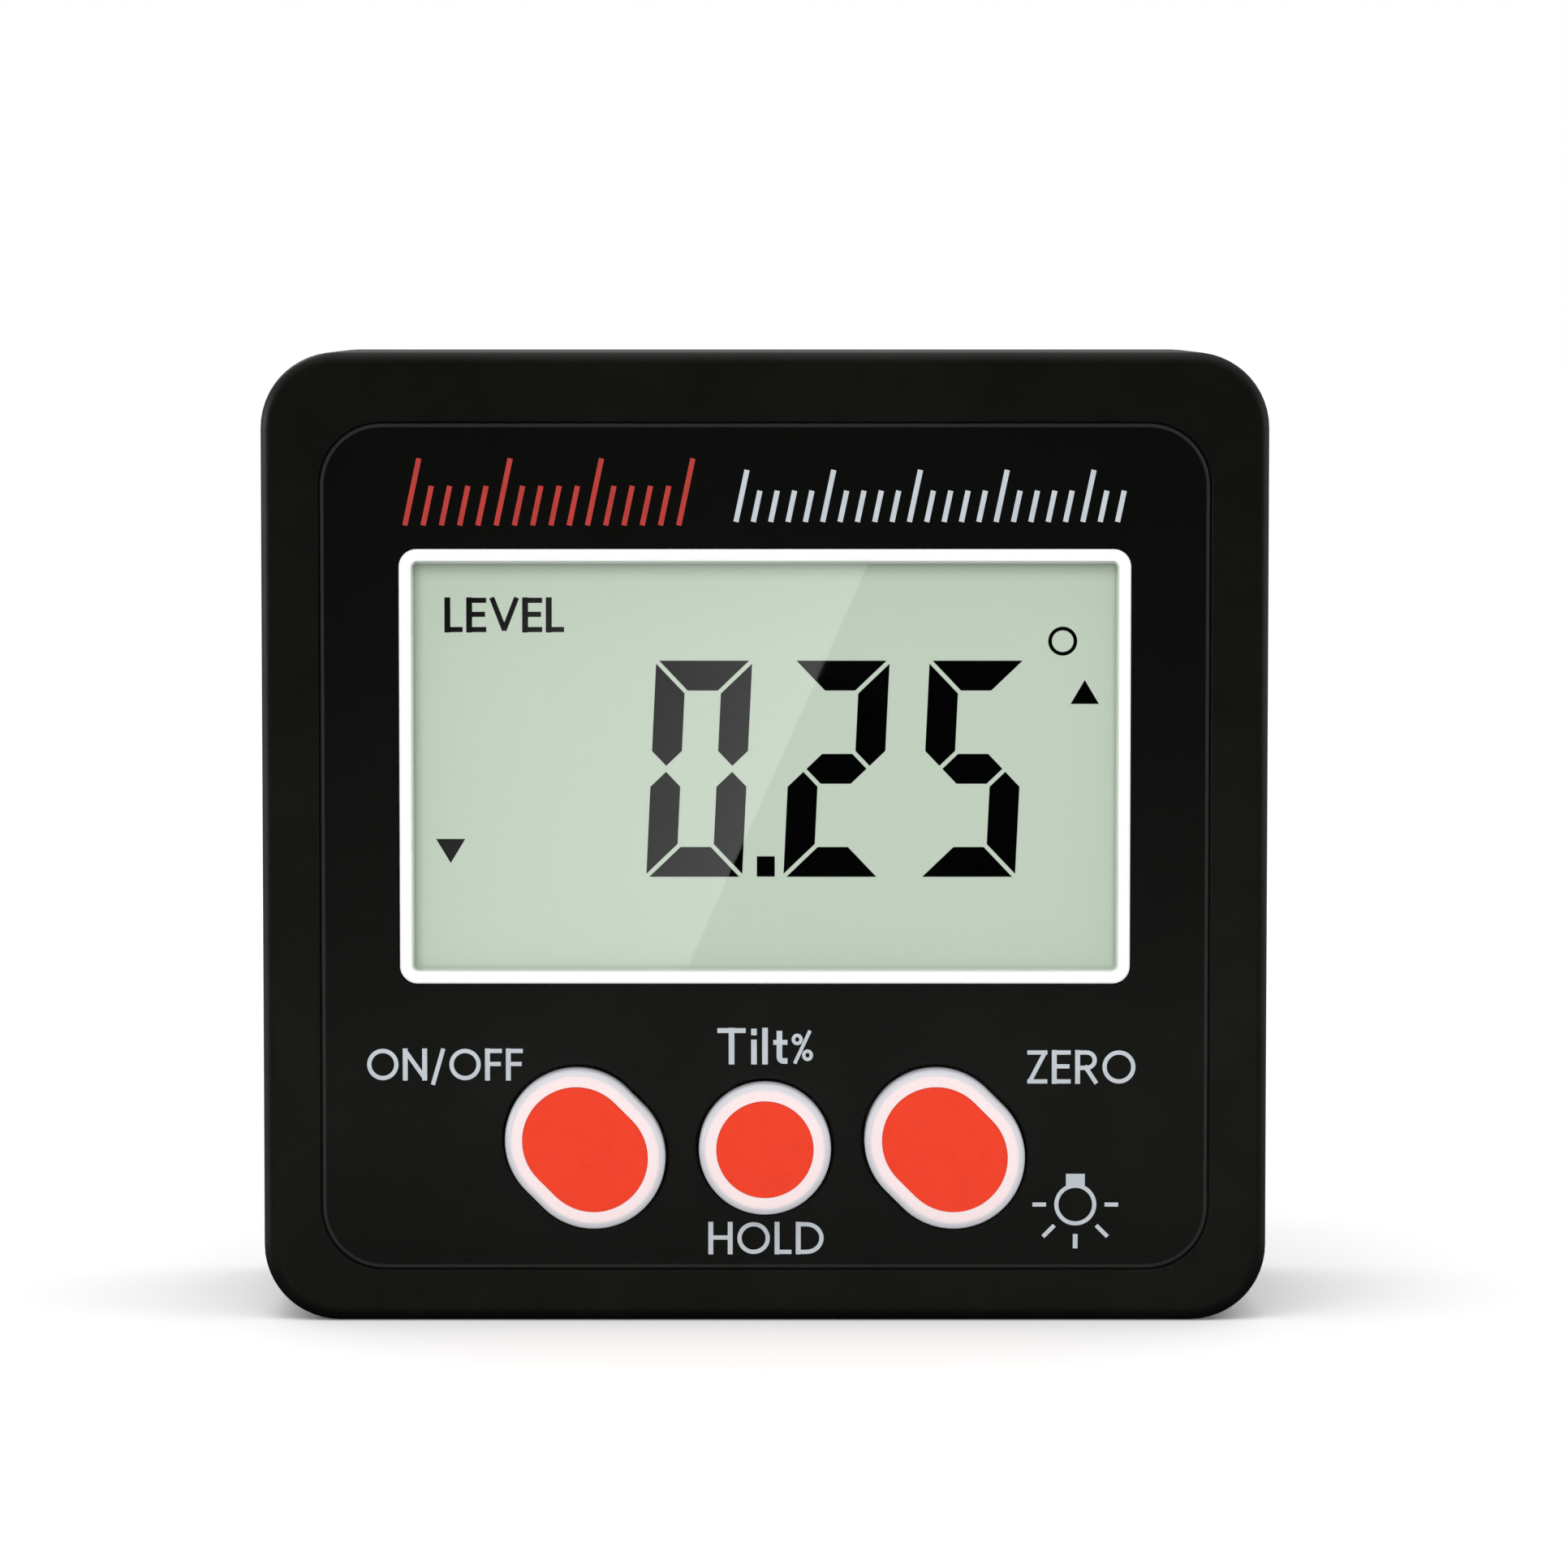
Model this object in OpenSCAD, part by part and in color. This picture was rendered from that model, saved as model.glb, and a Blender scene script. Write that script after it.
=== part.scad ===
// Digital angle gauge: a palm-sized box that reads the slope of the face it stands on.
// Seen from the front, x runs to the right, y runs from front to back and z runs up.
// The origin is the middle of the base. All lengths are in millimetres.

/* [Case] */
// Width of the case
case_w = 57; // [51:0.5:66]
// Height of the case
case_h = 55; // [49:0.5:66]
// Depth of the case from front rim to back face
case_d = 24; // [21.5:0.5:28]
// Corner radius of the case seen from the front
corner_r = 4.3; // [4:0.1:5.5]
// Rounding of the front and back edges
edge_r = 0.7; // [0.4:0.1:1]
// Thickness of the case walls
wall = 1.8; // [1.6:0.1:2.2]
// Depth of the rear cover from back face to parting line
cover_d = 4; // [3.5:0.1:5]
// Length of the lip that locates the rear cover in the case
lip_l = 1.4; // [1:0.1:2]

/* [Face label] */
// Margin of the label's recess at the left and right of the face
label_side = 3.25; // [2.5:0.05:4]
// Margin of the label's recess at the top of the face
label_top = 3.9; // [3:0.1:5]
// Margin of the label's recess at the bottom of the face
label_bottom = 2.9; // [2.5:0.1:4]
// Corner radius of the label's recess
label_r = 3.6; // [2:0.1:5]
// Depth of the label's recess
label_recess = 0.4; // [0.3:0.05:0.6]
// Thickness of the label film
label_t = 0.25; // [0.15:0.05:0.3]

/* [Window] */
// Margin of the window's clear opening at the left and right of the case
window_side = 8.5; // [7.5:0.1:12]
// Margin of the window's clear opening at the top of the case
window_top = 11.8; // [11.3:0.05:16]
// Height of the window's clear opening above the base
window_bottom = 19.95; // [18.5:0.05:24]
// Width of the white bezel's bars
bezel_w = 0.7; // [0.5:0.05:1]
// Outer corner radius of the bezel
bezel_r = 1; // [0.8:0.1:1.5]
// Thickness of the bezel's flange behind the front wall
bezel_flange_t = 0.5; // [0.4:0.05:0.8]
// Thickness of the lens's flange
lens_flange_t = 0.6; // [0.4:0.05:0.8]
// Depth of the lens's front face behind the front rim
lens_inset = 0.2; // [0.1:0.05:0.4]

/* [Buttons] */
// Distance between the buttons' middles
button_pitch = 10.2; // [10:0.05:11]
// Height of the buttons' middles above the base
button_z = 9.9; // [9.5:0.1:10.5]
// Radius of the round middle button
button_r = 3.75; // [3.4:0.05:3.95]
// Radius of the round ends of the two oblong outer buttons
oblong_r = 4.06; // [3.7:0.02:4.1]
// Half the straight run of the two oblong outer buttons
button_run = 0.7; // [0.4:0.02:0.8]
// Height of the buttons above the label
button_proud = 1.2; // [0.6:0.1:2]
// Rounding of a button's front edge
button_edge = 0.6; // [0.3:0.05:0.8]
// Travel of a button
button_travel = 0.35; // [0.2:0.05:0.5]
// Width of the pale ring round a button's red inlay
ring_w = 1.05; // [0.8:0.05:1.2]
// Thickness of the red inlay
inlay_t = 0.5; // [0.3:0.05:0.7]

/* [Display and board] */
// Thickness of each sheet of display glass
glass_t = 1; // [0.7:0.05:1.1]
// Thickness of the backlight's light guide
guide_t = 1.35; // [1:0.05:1.5]
// Thickness of the circuit board
board_t = 1.2; // [1:0.1:1.6]
// Side of a push switch's square housing
switch_w = 6; // [5:0.1:6.5]
// Height of a push switch's housing
switch_h = 2; // [1.8:0.1:2.4]
// Height of a switch plunger above its housing
plunger_proud = 0.8; // [0.6:0.1:1]

/* [Battery bay] */
// Gap between the bay's end walls and the sides of the case
bay_side = 1.2; // [0.6:0.1:3]
// Room for components between the board and the bay
bay_room = 2.9; // [2.4:0.1:4]
// Height of the bay's middle below the middle of the case
bay_drop = 0.5; // [-1:0.1:2]
// Length of a battery spring pressed by its cell
spring_l = 3.9; // [3:0.1:4.2]
// Thickness of the bay's walls
bay_wall = 1; // [0.8:0.1:1.2]
// Thickness of the battery door
door_t = 1.45; // [1.3:0.05:1.6]
// Width of the door's thumb latch
latch_w = 10; // [8:0.5:14]

/* [Magnets] */
// Diameter of a base magnet
magnet_d = 8; // [6:0.5:9]
// Thickness of a base magnet
magnet_t = 2.5; // [1.5:0.1:2.6]
// Distance between the magnets' middles
magnet_pitch = 12; // [11.5:0.5:13]
// Place of the magnets' row, front to back
magnet_y = -2; // [-3:0.5:0]

/* [Fasteners] */
// Diameter of the case screws
case_screw_d = 2.2; // [2:0.1:2.6]
// Length of the case screws under the head
case_screw_l = 12; // [10:0.5:13]
// Diameter of the board screws
board_screw_d = 2; // [1.6:0.1:2.2]
// Length of the board screws under the head
board_screw_l = 5; // [4:0.5:5.5]

/* [Fits] */
// Gap round a piece that is bonded or slid into place
fit = 0.1; // [0.05:0.01:0.12]
// Gap round a moving button in the case
button_gap = 0.15; // [0.1:0.05:0.2]
// Gap between the battery door and its recess
door_gap = 0.15; // [0.1:0.05:0.25]

/* [Hidden] */
$fn = 48;
cut = 0.5; // how far a cutter runs past the face it opens

// Depths from front to back
front_y = -case_d / 2;
back_y = case_d / 2;
parting_y = back_y - cover_d;
inner_y = front_y + wall;
recess_y = front_y + label_recess;
label_y = recess_y - label_t;
bezel_back_y = inner_y + bezel_flange_t;
lens_back_y = bezel_back_y + lens_flange_t;
layer_gap = 0.05;
glass_y = lens_back_y + layer_gap;
ledge_glass_y = glass_y + glass_t;
guide_y = ledge_glass_y + glass_t + layer_gap;
board_y = guide_y + guide_t + layer_gap;
board_back_y = board_y + board_t;
mid_z = case_h / 2;

// Face label
label_w = case_w - 2 * label_side;
label_h = case_h - label_top - label_bottom;
label_z = label_bottom + label_h / 2;

// Display pieces, each a little larger than the window in front of it
window_w = case_w - 2 * window_side;
window_h = case_h - window_top - window_bottom;
window_z = window_bottom + window_h / 2;
bezel_outer_w = window_w + 2 * bezel_w;
bezel_outer_h = window_h + 2 * bezel_w;
flange_lap = 1.4;
glass_lap = 1.2;
glass_w = window_w + 2 * glass_lap;
glass_bottom = window_z - window_h / 2 - glass_lap;
rear_glass_top = window_z + window_h / 2 + glass_lap - 0.25;
contact_ledge = 1.9;
glass_top = rear_glass_top + contact_ledge;
frame_bar = 0.85;
frame_sill = 1.5;
led_w = 3;
led_h = 1;
led_t = 1.2;
peg_r = 0.6;
peg_x = glass_w / 2 - 2;
peg_z = glass_bottom - fit - frame_sill / 2;

// Corner pillars and screws
corner_x = case_w / 2 - corner_r;
corner_spots = [for (side = [-1, 1], z = [corner_r, case_h - corner_r]) [side * corner_x, z]];
pillar_r = corner_r - wall + 0.3;
cover_boss_r = corner_r - wall - 2 * fit;
pillar_y = parting_y - 4;
seat_y = back_y - wall;
head_r = 2;
head_h = 1.4;
head_well_r = head_r + 2 * fit;

// Circuit board and the posts that carry it
board_margin = 1.2;
board_w = case_w - 2 * (wall + board_margin);
board_bottom = wall + 3;
board_top = case_h - wall - board_margin;
post_r = 1.9;
post_z_low = glass_bottom - frame_sill - post_r - 1;
post_z_high = glass_top + frame_bar + post_r + 0.7;
post_x_low = button_pitch + button_run + oblong_r + 6;
post_x_high = corner_x - pillar_r - post_r - 2;
post_spots = [for (side = [-1, 1]) each [[side * post_x_low, post_z_low], [side * post_x_high, post_z_high]]];
board_head_r = 1.7;
board_head_h = 1.2;

// Buttons and switches
button_xs = [-button_pitch, 0, button_pitch];
flange_t = 0.8;
flange_over = 0.6;
flange_y = inner_y + 0.05;
cap_back_y = flange_y + flange_t;
cap_h = cap_back_y - (label_y - button_proud);
inlay_depth = inlay_t + 0.05;
cap_wall = 1;
stem_r = 1.3;
plunger_r = 1.6;
switch_y = board_y - switch_h;
plunger_y = switch_y - plunger_proud;
plunger_root = 0.6;
oblong_tilt = -45;

// Battery bay
dome_h = 0.6;
cell_gap = 0.3;
cell_play = 0.35;
cell_lift = 0.2;
door_y = back_y - door_t;
ledge_y = door_y - 0.05;
bay_front_y = board_back_y + bay_room;
floor_y = bay_front_y + bay_wall;
cell_d = door_y - cell_play - cell_lift - floor_y;
cell_y = door_y - cell_play - cell_d / 2;
bay_l = case_w - 2 * (wall + bay_side + bay_wall);
cell_l = bay_l - spring_l - dome_h;
bay_z = mid_z - bay_drop;
bay_h = 2 * cell_d + cell_gap + 2 * cell_play;
bay_bottom = bay_z - bay_h / 2;
bay_top = bay_z + bay_h / 2;
cell_zs = [bay_z + (cell_d + cell_gap) / 2, bay_z - (cell_d + cell_gap) / 2];
plate_t = 0.4;
plate_w = cell_d - 1.9;
plate_y = floor_y + 1;
plate_back_y = ledge_y - 0.8;
tab_w = 1.6;
wire_r = 0.3;
lead_r = 0.5;
lead_y = bay_front_y - lead_r - 0.2;
lead_run = 4;
lead_bend = 1.2;
tab_y = lead_y - lead_r - 0.1;

// Battery door: a bull-nosed lower edge turns in the recess, and tongues hook under the back wall
recess_bottom = bay_bottom - bay_wall;
recess_top = bay_top + bay_wall;
recess_w = bay_l + 2 * bay_wall;
recess_r = 1;
nose_r = door_t / 2;
hinge_y = back_y - nose_r;
hinge_z = recess_bottom + door_gap + nose_r;
door_w = recess_w - 2 * door_gap;
door_top = recess_top - door_gap;
tongue_w = 6;
tongue_x = 14;
tongue_t = 0.75;
tongue_y = seat_y - door_gap;
tongue_bottom = recess_bottom - 1.2;
tongue_top = bay_bottom + 1.2;
grip_count = 4;
grip_l = 1.2 * latch_w;
grip_w = 0.8;
grip_pitch = 1.7;
grip_inset = 2.6;
grip_depth = 0.35;
latch_t = 0.7;
latch_bend = 0.55;
latch_z = bay_top + 0.3;
latch_y = cell_y + 2.4;
latch_top = latch_z + 2 * latch_bend + latch_t;
pad_h = 0.7;
well_top = latch_top + pad_h + 0.35;
well_y = latch_y - latch_t - latch_bend - 0.45;
well_w = latch_w + 1;

// Components on the back of the board
chip_w = 7;
chip_t = 1.4;
chip_lead_pitch = 0.8;
chip_lead_w = 0.35;
chip_lead_t = 0.3;
chip_lead_l = 0.9;
sensor_w = 3;
sensor_t = 1;
sensor_x = -0.275 * board_w;
crystal_r = 1;
crystal_l = 6;
crystal_x = 0.175 * board_w;
crystal_z = bay_z + chip_w;
capacitor_l = 1.6;
capacitor_w = 0.8;
capacitor_pitch = 3.2;
capacitor_z = bay_z - chip_w - 1;

// Base magnets
magnet_xs = [for (i = [-1.5 : 1 : 1.5]) i * magnet_pitch];
magnet_inset = 0.1;
magnet_cover = 1.2;

// Shared shapes

// Rectangle with round corners about the origin
module rounded(w, h, r) {
    square([w - 2 * r, h], center = true);
    square([w, h - 2 * r], center = true);
    for (sx = [-1, 1], sy = [-1, 1])
        translate([sx * (w / 2 - r), sy * (h / 2 - r)]) circle(r);
}

// Rectangle between two heights, centred across
module band(w, z0, z1) translate([-w / 2, z0]) square([w, z1 - z0]);

// A flat shape, drawn as seen from the front, as a plate between two depths
module slab(y0, y1) translate([0, y1, 0]) rotate([90, 0, 0]) linear_extrude(y1 - y0) children();

// A flat shape, drawn in depth and height, as a plate between two places across
module rib(x0, x1) translate([x0, 0, 0]) rotate([90, 0, 90]) linear_extrude(x1 - x0) children();

// A round bar or bore that runs front to back
module bar(x, z, r, y0, y1) translate([x, y0, z]) rotate([-90, 0, 0]) cylinder(r = r, h = y1 - y0);

// Quarter disc that reaches outwards and down from its middle
module quarter_round(r) intersection() {
    circle(r);
    translate([0, -r]) square(r);
}

// Block with a round-cornered outline whose lower rim is rounded over
module soft_block(w, h, r, depth, edge) {
    translate([0, 0, edge]) linear_extrude(depth - edge) rounded(w, h, r);
    linear_extrude(edge) rounded(w - 2 * edge, h - 2 * edge, r - edge);
    for (turn = [0 : 90 : 270]) rotate(turn) {
        across = turn % 180 == 0 ? w : h;
        along = turn % 180 == 0 ? h : w;
        translate([across / 2 - edge, 0, edge]) rotate([90, 0, 0])
            linear_extrude(along - 2 * r, center = true) quarter_round(edge);
        translate([across / 2 - r, along / 2 - r, edge])
            rotate_extrude(angle = 90) translate([r - edge, 0]) quarter_round(edge);
    }
}

// A half profile turned about each end of a straight run, or about one axis where the run is nothing
module oblong(run) {
    if (run > 0) {
        for (side = [0, 180]) rotate(side)
            translate([run, 0, 0]) rotate(-90) rotate_extrude(angle = 180) children();
        rotate([90, 0, 90]) linear_extrude(2 * run, center = true) {
            children();
            mirror([1, 0]) children();
        }
    } else rotate_extrude() children();
}

// Radius and run of the button at a place across the face
function end_r(x) = x == 0 ? button_r : oblong_r;
function half_run(x) = x == 0 ? 0 : button_run;

// Outline of a button's hole with a gap round the button, seen from the front
module button_outline(x, gap) {
    r = end_r(x) + gap;
    run = half_run(x);
    translate([x, button_z]) rotate(oblong_tilt) {
        for (side = [-1, 1]) translate([side * run, 0]) circle(r);
        if (run > 0) square([2 * run, 2 * r], center = true);
    }
}

// Case

module case_outline(inset) translate([0, mid_z])
    rounded(case_w - 2 * inset, case_h - 2 * inset, corner_r - inset);

module window_outline(grow, r) translate([0, window_z])
    rounded(window_w + 2 * grow, window_h + 2 * grow, r);

module label_outline(inset) translate([0, label_z])
    rounded(label_w - 2 * inset, label_h - 2 * inset, label_r - inset);

// Deep front tub with the face, the screw pillars, the board posts and the magnet pockets
module front_case() color("#1a1b19") difference() {
    union() {
        difference() {
            translate([0, front_y, mid_z]) rotate([-90, 0, 0])
                soft_block(case_w, case_h, corner_r, parting_y - front_y, edge_r);
            slab(inner_y, parting_y + cut) case_outline(wall);
        }
        for (spot = corner_spots) bar(spot.x, spot.y, pillar_r, inner_y - cut, pillar_y);
        for (spot = post_spots) bar(spot.x, spot.y, post_r, inner_y - cut, board_y);
        for (x = magnet_xs) translate([x, magnet_y, wall / 2])
            cylinder(r = magnet_d / 2 + 1, h = magnet_t + magnet_inset + magnet_cover - wall / 2);
    }
    slab(parting_y - lip_l - fit, parting_y + cut) case_outline(wall / 2);
    slab(front_y - cut, recess_y) label_outline(0);
    slab(front_y - cut, inner_y + cut) window_outline(bezel_w + fit / 2, bezel_r + fit / 2);
    slab(front_y - cut, inner_y + cut) for (x = button_xs) button_outline(x, button_gap);
    for (spot = corner_spots)
        bar(spot.x, spot.y, case_screw_d / 2 + fit / 2, seat_y - case_screw_l - 1, pillar_y + cut);
    for (spot = post_spots)
        bar(spot.x, spot.y, board_screw_d / 2 + fit / 2, board_back_y - board_screw_l - 0.3, board_y + cut);
    for (x = magnet_xs) translate([x, magnet_y, -cut])
        cylinder(r = magnet_d / 2 + fit / 2, h = magnet_t + magnet_inset + cut);
}

// Shallow tray with the screw bosses and the battery bay
module rear_cover() color("#1a1b19") difference() {
    union() {
        difference() {
            union() {
                translate([0, back_y, mid_z]) rotate([90, 0, 0])
                    soft_block(case_w, case_h, corner_r, cover_d, edge_r);
                slab(parting_y - lip_l, parting_y) case_outline(wall / 2 + fit);
            }
            slab(parting_y - lip_l - cut, seat_y) case_outline(wall);
        }
        for (spot = corner_spots) bar(spot.x, spot.y, cover_boss_r, pillar_y, seat_y + cut);
        slab(bay_front_y, seat_y + cut) band(recess_w, recess_bottom, recess_top);
        slab(well_y - bay_wall, seat_y + cut) band(well_w + 2 * bay_wall, bay_top, well_top + bay_wall);
    }
    slab(floor_y, back_y + cut) band(bay_l, bay_bottom, bay_top);
    slab(ledge_y, back_y + cut) {
        translate([0, (recess_bottom + recess_top) / 2])
            rounded(recess_w, recess_top - recess_bottom, recess_r);
        band(recess_w, recess_bottom, bay_z);
    }
    slab(well_y, back_y + cut) band(well_w, latch_z - latch_t, well_top);
    for (side = [-1, 1]) slab(hinge_y - 3.6, ledge_y + cut) translate([side * tongue_x, 0])
        band(tongue_w + 2 * door_gap, recess_bottom - cut, bay_bottom + cut);
    contact_seat(-1, cell_zs[1] - plate_w / 2, cell_zs[0] + plate_w / 2);
    for (z = cell_zs) {
        contact_seat(1, z - plate_w / 2, z + plate_w / 2);
        slab(bay_front_y - cut, plate_y) translate([bay_l / 2, z - tab_w / 2 - fit])
            square([plate_t + fit, tab_w + 2 * fit]);
    }
    for (spot = corner_spots) {
        bar(spot.x, spot.y, case_screw_d / 2 + fit, pillar_y - cut, back_y);
        bar(spot.x, spot.y, head_well_r, seat_y, back_y + cut);
    }
}

// Slot in an end wall of the bay that a contact plate slides down
module contact_seat(side, z0, z1) slab(plate_y - fit, ledge_y + cut)
    translate([side * (bay_l + plate_t + fit) / 2, (z0 + z1) / 2])
        square([plate_t + fit, z1 - z0 + 2 * fit], center = true);

// Flush door with a bull-nosed hinge edge, grip grooves, two hook tongues and a bent thumb latch
module battery_door() color("#1d1e1c") {
    difference() {
        slab(door_y, back_y) difference() {
            band(door_w, hinge_z, door_top);
            for (side = [-1, 1]) translate([side * (door_w / 2 - recess_r), door_top - recess_r])
                difference() {
                    translate([side > 0 ? 0 : -recess_r - cut, 0]) square(recess_r + cut);
                    circle(recess_r);
                }
        }
        slab(back_y - grip_depth, back_y + cut) for (i = [0 : grip_count - 1])
            translate([0, door_top - grip_inset - i * grip_pitch]) rounded(grip_l, grip_w, grip_w / 2 - 0.01);
    }
    translate([-door_w / 2, hinge_y, hinge_z]) rotate([0, 90, 0]) cylinder(r = nose_r, h = door_w);
    for (side = [-1, 1]) rib(side * tongue_x - tongue_w / 2, side * tongue_x + tongue_w / 2) {
        translate([tongue_y - tongue_t, tongue_bottom]) square([tongue_t, tongue_top - tongue_bottom]);
        translate([tongue_y - tongue_t, bay_bottom + door_gap])
            square([door_y - tongue_y + tongue_t + cut, tongue_top - bay_bottom - door_gap]);
    }
    rib(-latch_w / 2, latch_w / 2) {
        translate([latch_y, latch_z - latch_t]) square([door_y - latch_y + cut, latch_t]);
        translate([latch_y, latch_z + latch_bend]) difference() {
            circle(latch_bend + latch_t);
            circle(latch_bend);
            translate([0, -2 * latch_t]) square(4 * latch_t);
            translate([0, -4 * latch_t]) square(4 * latch_t);
        }
        translate([latch_y, latch_top - latch_t]) square([back_y - latch_y - 0.4, latch_t]);
        translate([back_y - 1.2, latch_top - cut]) square([0.8, pad_h + cut]);
    }
}

// Four screws that enter from the back and draw the cover onto the pillars
module case_screws() color("#8d9092")
    for (spot = corner_spots) pan_screw(spot, seat_y, case_screw_d, case_screw_l, head_r, head_h);

// Pan-headed screw driven towards the front, with its head on the given depth
module pan_screw(spot, y, d, l, r, h) translate([spot.x, y, spot.y]) rotate([-90, 0, 0]) difference() {
    union() {
        rotate_extrude() {
            square([r, h / 2]);
            translate([0, h / 2]) square([r - h / 2, h / 2]);
            translate([r - h / 2, h / 2]) intersection() {
                circle(h / 2);
                square(h / 2);
            }
        }
        translate([0, 0, -l]) cylinder(r = d / 2, h = l);
    }
    for (turn = [0, 90]) rotate(turn)
        translate([0, 0, h]) cube([1.3 * r, 0.3 * r, 1.2 * h], center = true);
}

// Face

// Printed film in the recess of the face
module face_label() color("#0f100f") slab(label_y, recess_y) difference() {
    label_outline(fit);
    window_outline(bezel_w + fit, bezel_r + fit);
    for (x = button_xs) button_outline(x, button_gap + fit);
}

// White frame that stands in the window and is held by a flange behind the front wall
module window_bezel() color("#f6f7f5") {
    slab(front_y, bezel_back_y) difference() {
        window_outline(bezel_w, bezel_r);
        window_outline(0, bezel_r - bezel_w);
    }
    slab(inner_y, bezel_back_y) difference() {
        window_outline(flange_lap, bezel_r);
        window_outline(0, bezel_r - bezel_w);
    }
}

// Clear stepped lens that fills the bezel and lies against its flange
module window_lens() color("#dfeaea", 0.35) {
    slab(front_y + lens_inset, lens_back_y) window_outline(-fit / 2, bezel_r - bezel_w);
    slab(bezel_back_y, lens_back_y) window_outline(flange_lap, bezel_r);
}

// Buttons

// Half section of a button cap from its flange up to its face
module cap_profile(r) difference() {
    union() {
        square([r + flange_over, flange_t]);
        square([r, cap_h - button_edge]);
        square([r - button_edge, cap_h]);
        translate([r - button_edge, cap_h - button_edge]) intersection() {
            circle(button_edge);
            square(button_edge);
        }
    }
    translate([0, cap_h - inlay_depth]) square([r - ring_w + fit / 2, inlay_depth + cut]);
    translate([0, -cut]) square([r - cap_wall, cap_h - inlay_depth - cap_wall + cut]);
}

module button_place(x) translate([x, cap_back_y, button_z]) rotate([90, 0, 0]) rotate(oblong_tilt) children();

// Pale cap, hollow behind, with a flange that keeps it in the case and a stem that meets the switch
module button_cap(x) color("#dcdde2") {
    button_place(x) oblong(half_run(x)) cap_profile(end_r(x));
    bar(x, button_z, stem_r, cap_back_y - cap_h + inlay_depth + cap_wall / 2, plunger_y);
}

// Red face that is bonded into the cap
module button_inlay(x) color("#ec4329") button_place(x) translate([0, 0, cap_h - inlay_depth])
    oblong(half_run(x)) square([end_r(x) - ring_w, inlay_t]);

// Housing of a push switch, soldered to the front of the board by four feet
module push_switch(x) color("#2b2c2e") difference() {
    union() {
        slab(switch_y, board_y) translate([x, button_z]) square(switch_w, center = true);
        for (sx = [-1, 1], sz = [-1, 1])
            slab(board_y - 0.3, board_y) translate([x + sx * switch_w / 2, button_z + sz * switch_w / 3])
                square([1.6, 0.7], center = true);
    }
    bar(x, button_z, plunger_r + fit, switch_y - cut, switch_y + plunger_root + button_travel + 0.2);
}

// Round plunger that the button's stem pushes into the switch
module switch_plunger(x) color("#c9b48a") bar(x, button_z, plunger_r, plunger_y, switch_y + plunger_root);

// Display

// Two sheets of glass, the front one longer at the top to carry the contacts
module lcd_panel() color("#c3d2bf") {
    slab(glass_y, ledge_glass_y) band(glass_w, glass_bottom, glass_top);
    slab(ledge_glass_y, ledge_glass_y + glass_t) band(glass_w, glass_bottom, rear_glass_top);
}

// Light guide behind the display, lit from below
module light_guide() color("#eef2ea") slab(guide_y, guide_y + guide_t)
    band(glass_w - 2 * fit, glass_bottom + led_h + 2 * fit, rear_glass_top - fit);

module backlight_leds() color("#f4e9b8") for (x = [-1, 0, 1] * glass_w / 3.5)
    slab(board_y - led_t, board_y) translate([x, 0]) band(led_w, glass_bottom, glass_bottom + led_h);

// Moulded frame that holds the display on the board, with two pegs through it
module lcd_frame() color("#e9e9e4") {
    slab(glass_y + layer_gap, board_y) difference() {
        band(glass_w + 2 * (fit + frame_bar), glass_bottom - fit - frame_sill, glass_top + fit + frame_bar);
        band(glass_w + 2 * fit, glass_bottom - fit, glass_top + fit);
    }
    for (side = [-1, 1]) bar(side * peg_x, peg_z, peg_r, board_y - cut, board_back_y + 0.3);
}

// Elastomer strip that joins the glass's contacts to the board
module lcd_connector() color("#7c8a94") slab(ledge_glass_y, board_y)
    band(glass_w - 3, rear_glass_top + 0.2, glass_top - 0.1);

// Circuit board

module circuit_board() color("#1f5a3a") slab(board_y, board_back_y) difference() {
    band(board_w, board_bottom, board_top);
    for (spot = corner_spots) translate(spot) circle(pillar_r + 4 * fit);
    for (spot = post_spots) translate(spot) circle(board_screw_d / 2 + fit);
    for (side = [-1, 1]) translate([side * peg_x, peg_z]) circle(peg_r + fit / 2);
}

module board_screws() color("#9a9c9e")
    for (spot = post_spots)
        pan_screw(spot, board_back_y, board_screw_d, board_screw_l, board_head_r, board_head_h);

// A place on the back of the board, with its own up direction pointing to the back
module on_board(x, z) translate([x, board_back_y, z]) rotate([-90, 0, 0]) children();

// Flat chip with a row of leads on each side
module controller_chip() color("#242527") on_board(0, bay_z) {
    translate([0, 0, chip_lead_t / 3]) linear_extrude(chip_t - chip_lead_t / 3) square(chip_w, center = true);
    for (turn = [0 : 90 : 270], i = [-3.5 : 3.5]) rotate(turn)
        translate([chip_w / 2 - chip_lead_t, i * chip_lead_pitch - chip_lead_w / 2, 0])
            cube([chip_lead_l + chip_lead_t, chip_lead_w, chip_lead_t]);
}

module tilt_sensor() color("#303134") on_board(sensor_x, bay_z)
    linear_extrude(sensor_t) square(sensor_w, center = true);

// Clock crystal in a round can that lies on the board
module clock_crystal() color("#b9bcbf") translate([crystal_x, board_back_y + crystal_r, crystal_z])
    rotate([0, 90, 0]) cylinder(r = crystal_r, h = crystal_l);

// Row of chip capacitors under the controller
module board_capacitors() color("#b58a5a") for (i = [-2 : 2])
    on_board(i * capacitor_pitch, capacitor_z)
        linear_extrude(capacitor_w) square([capacitor_l, capacitor_w], center = true);

// Batteries and contacts

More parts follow.
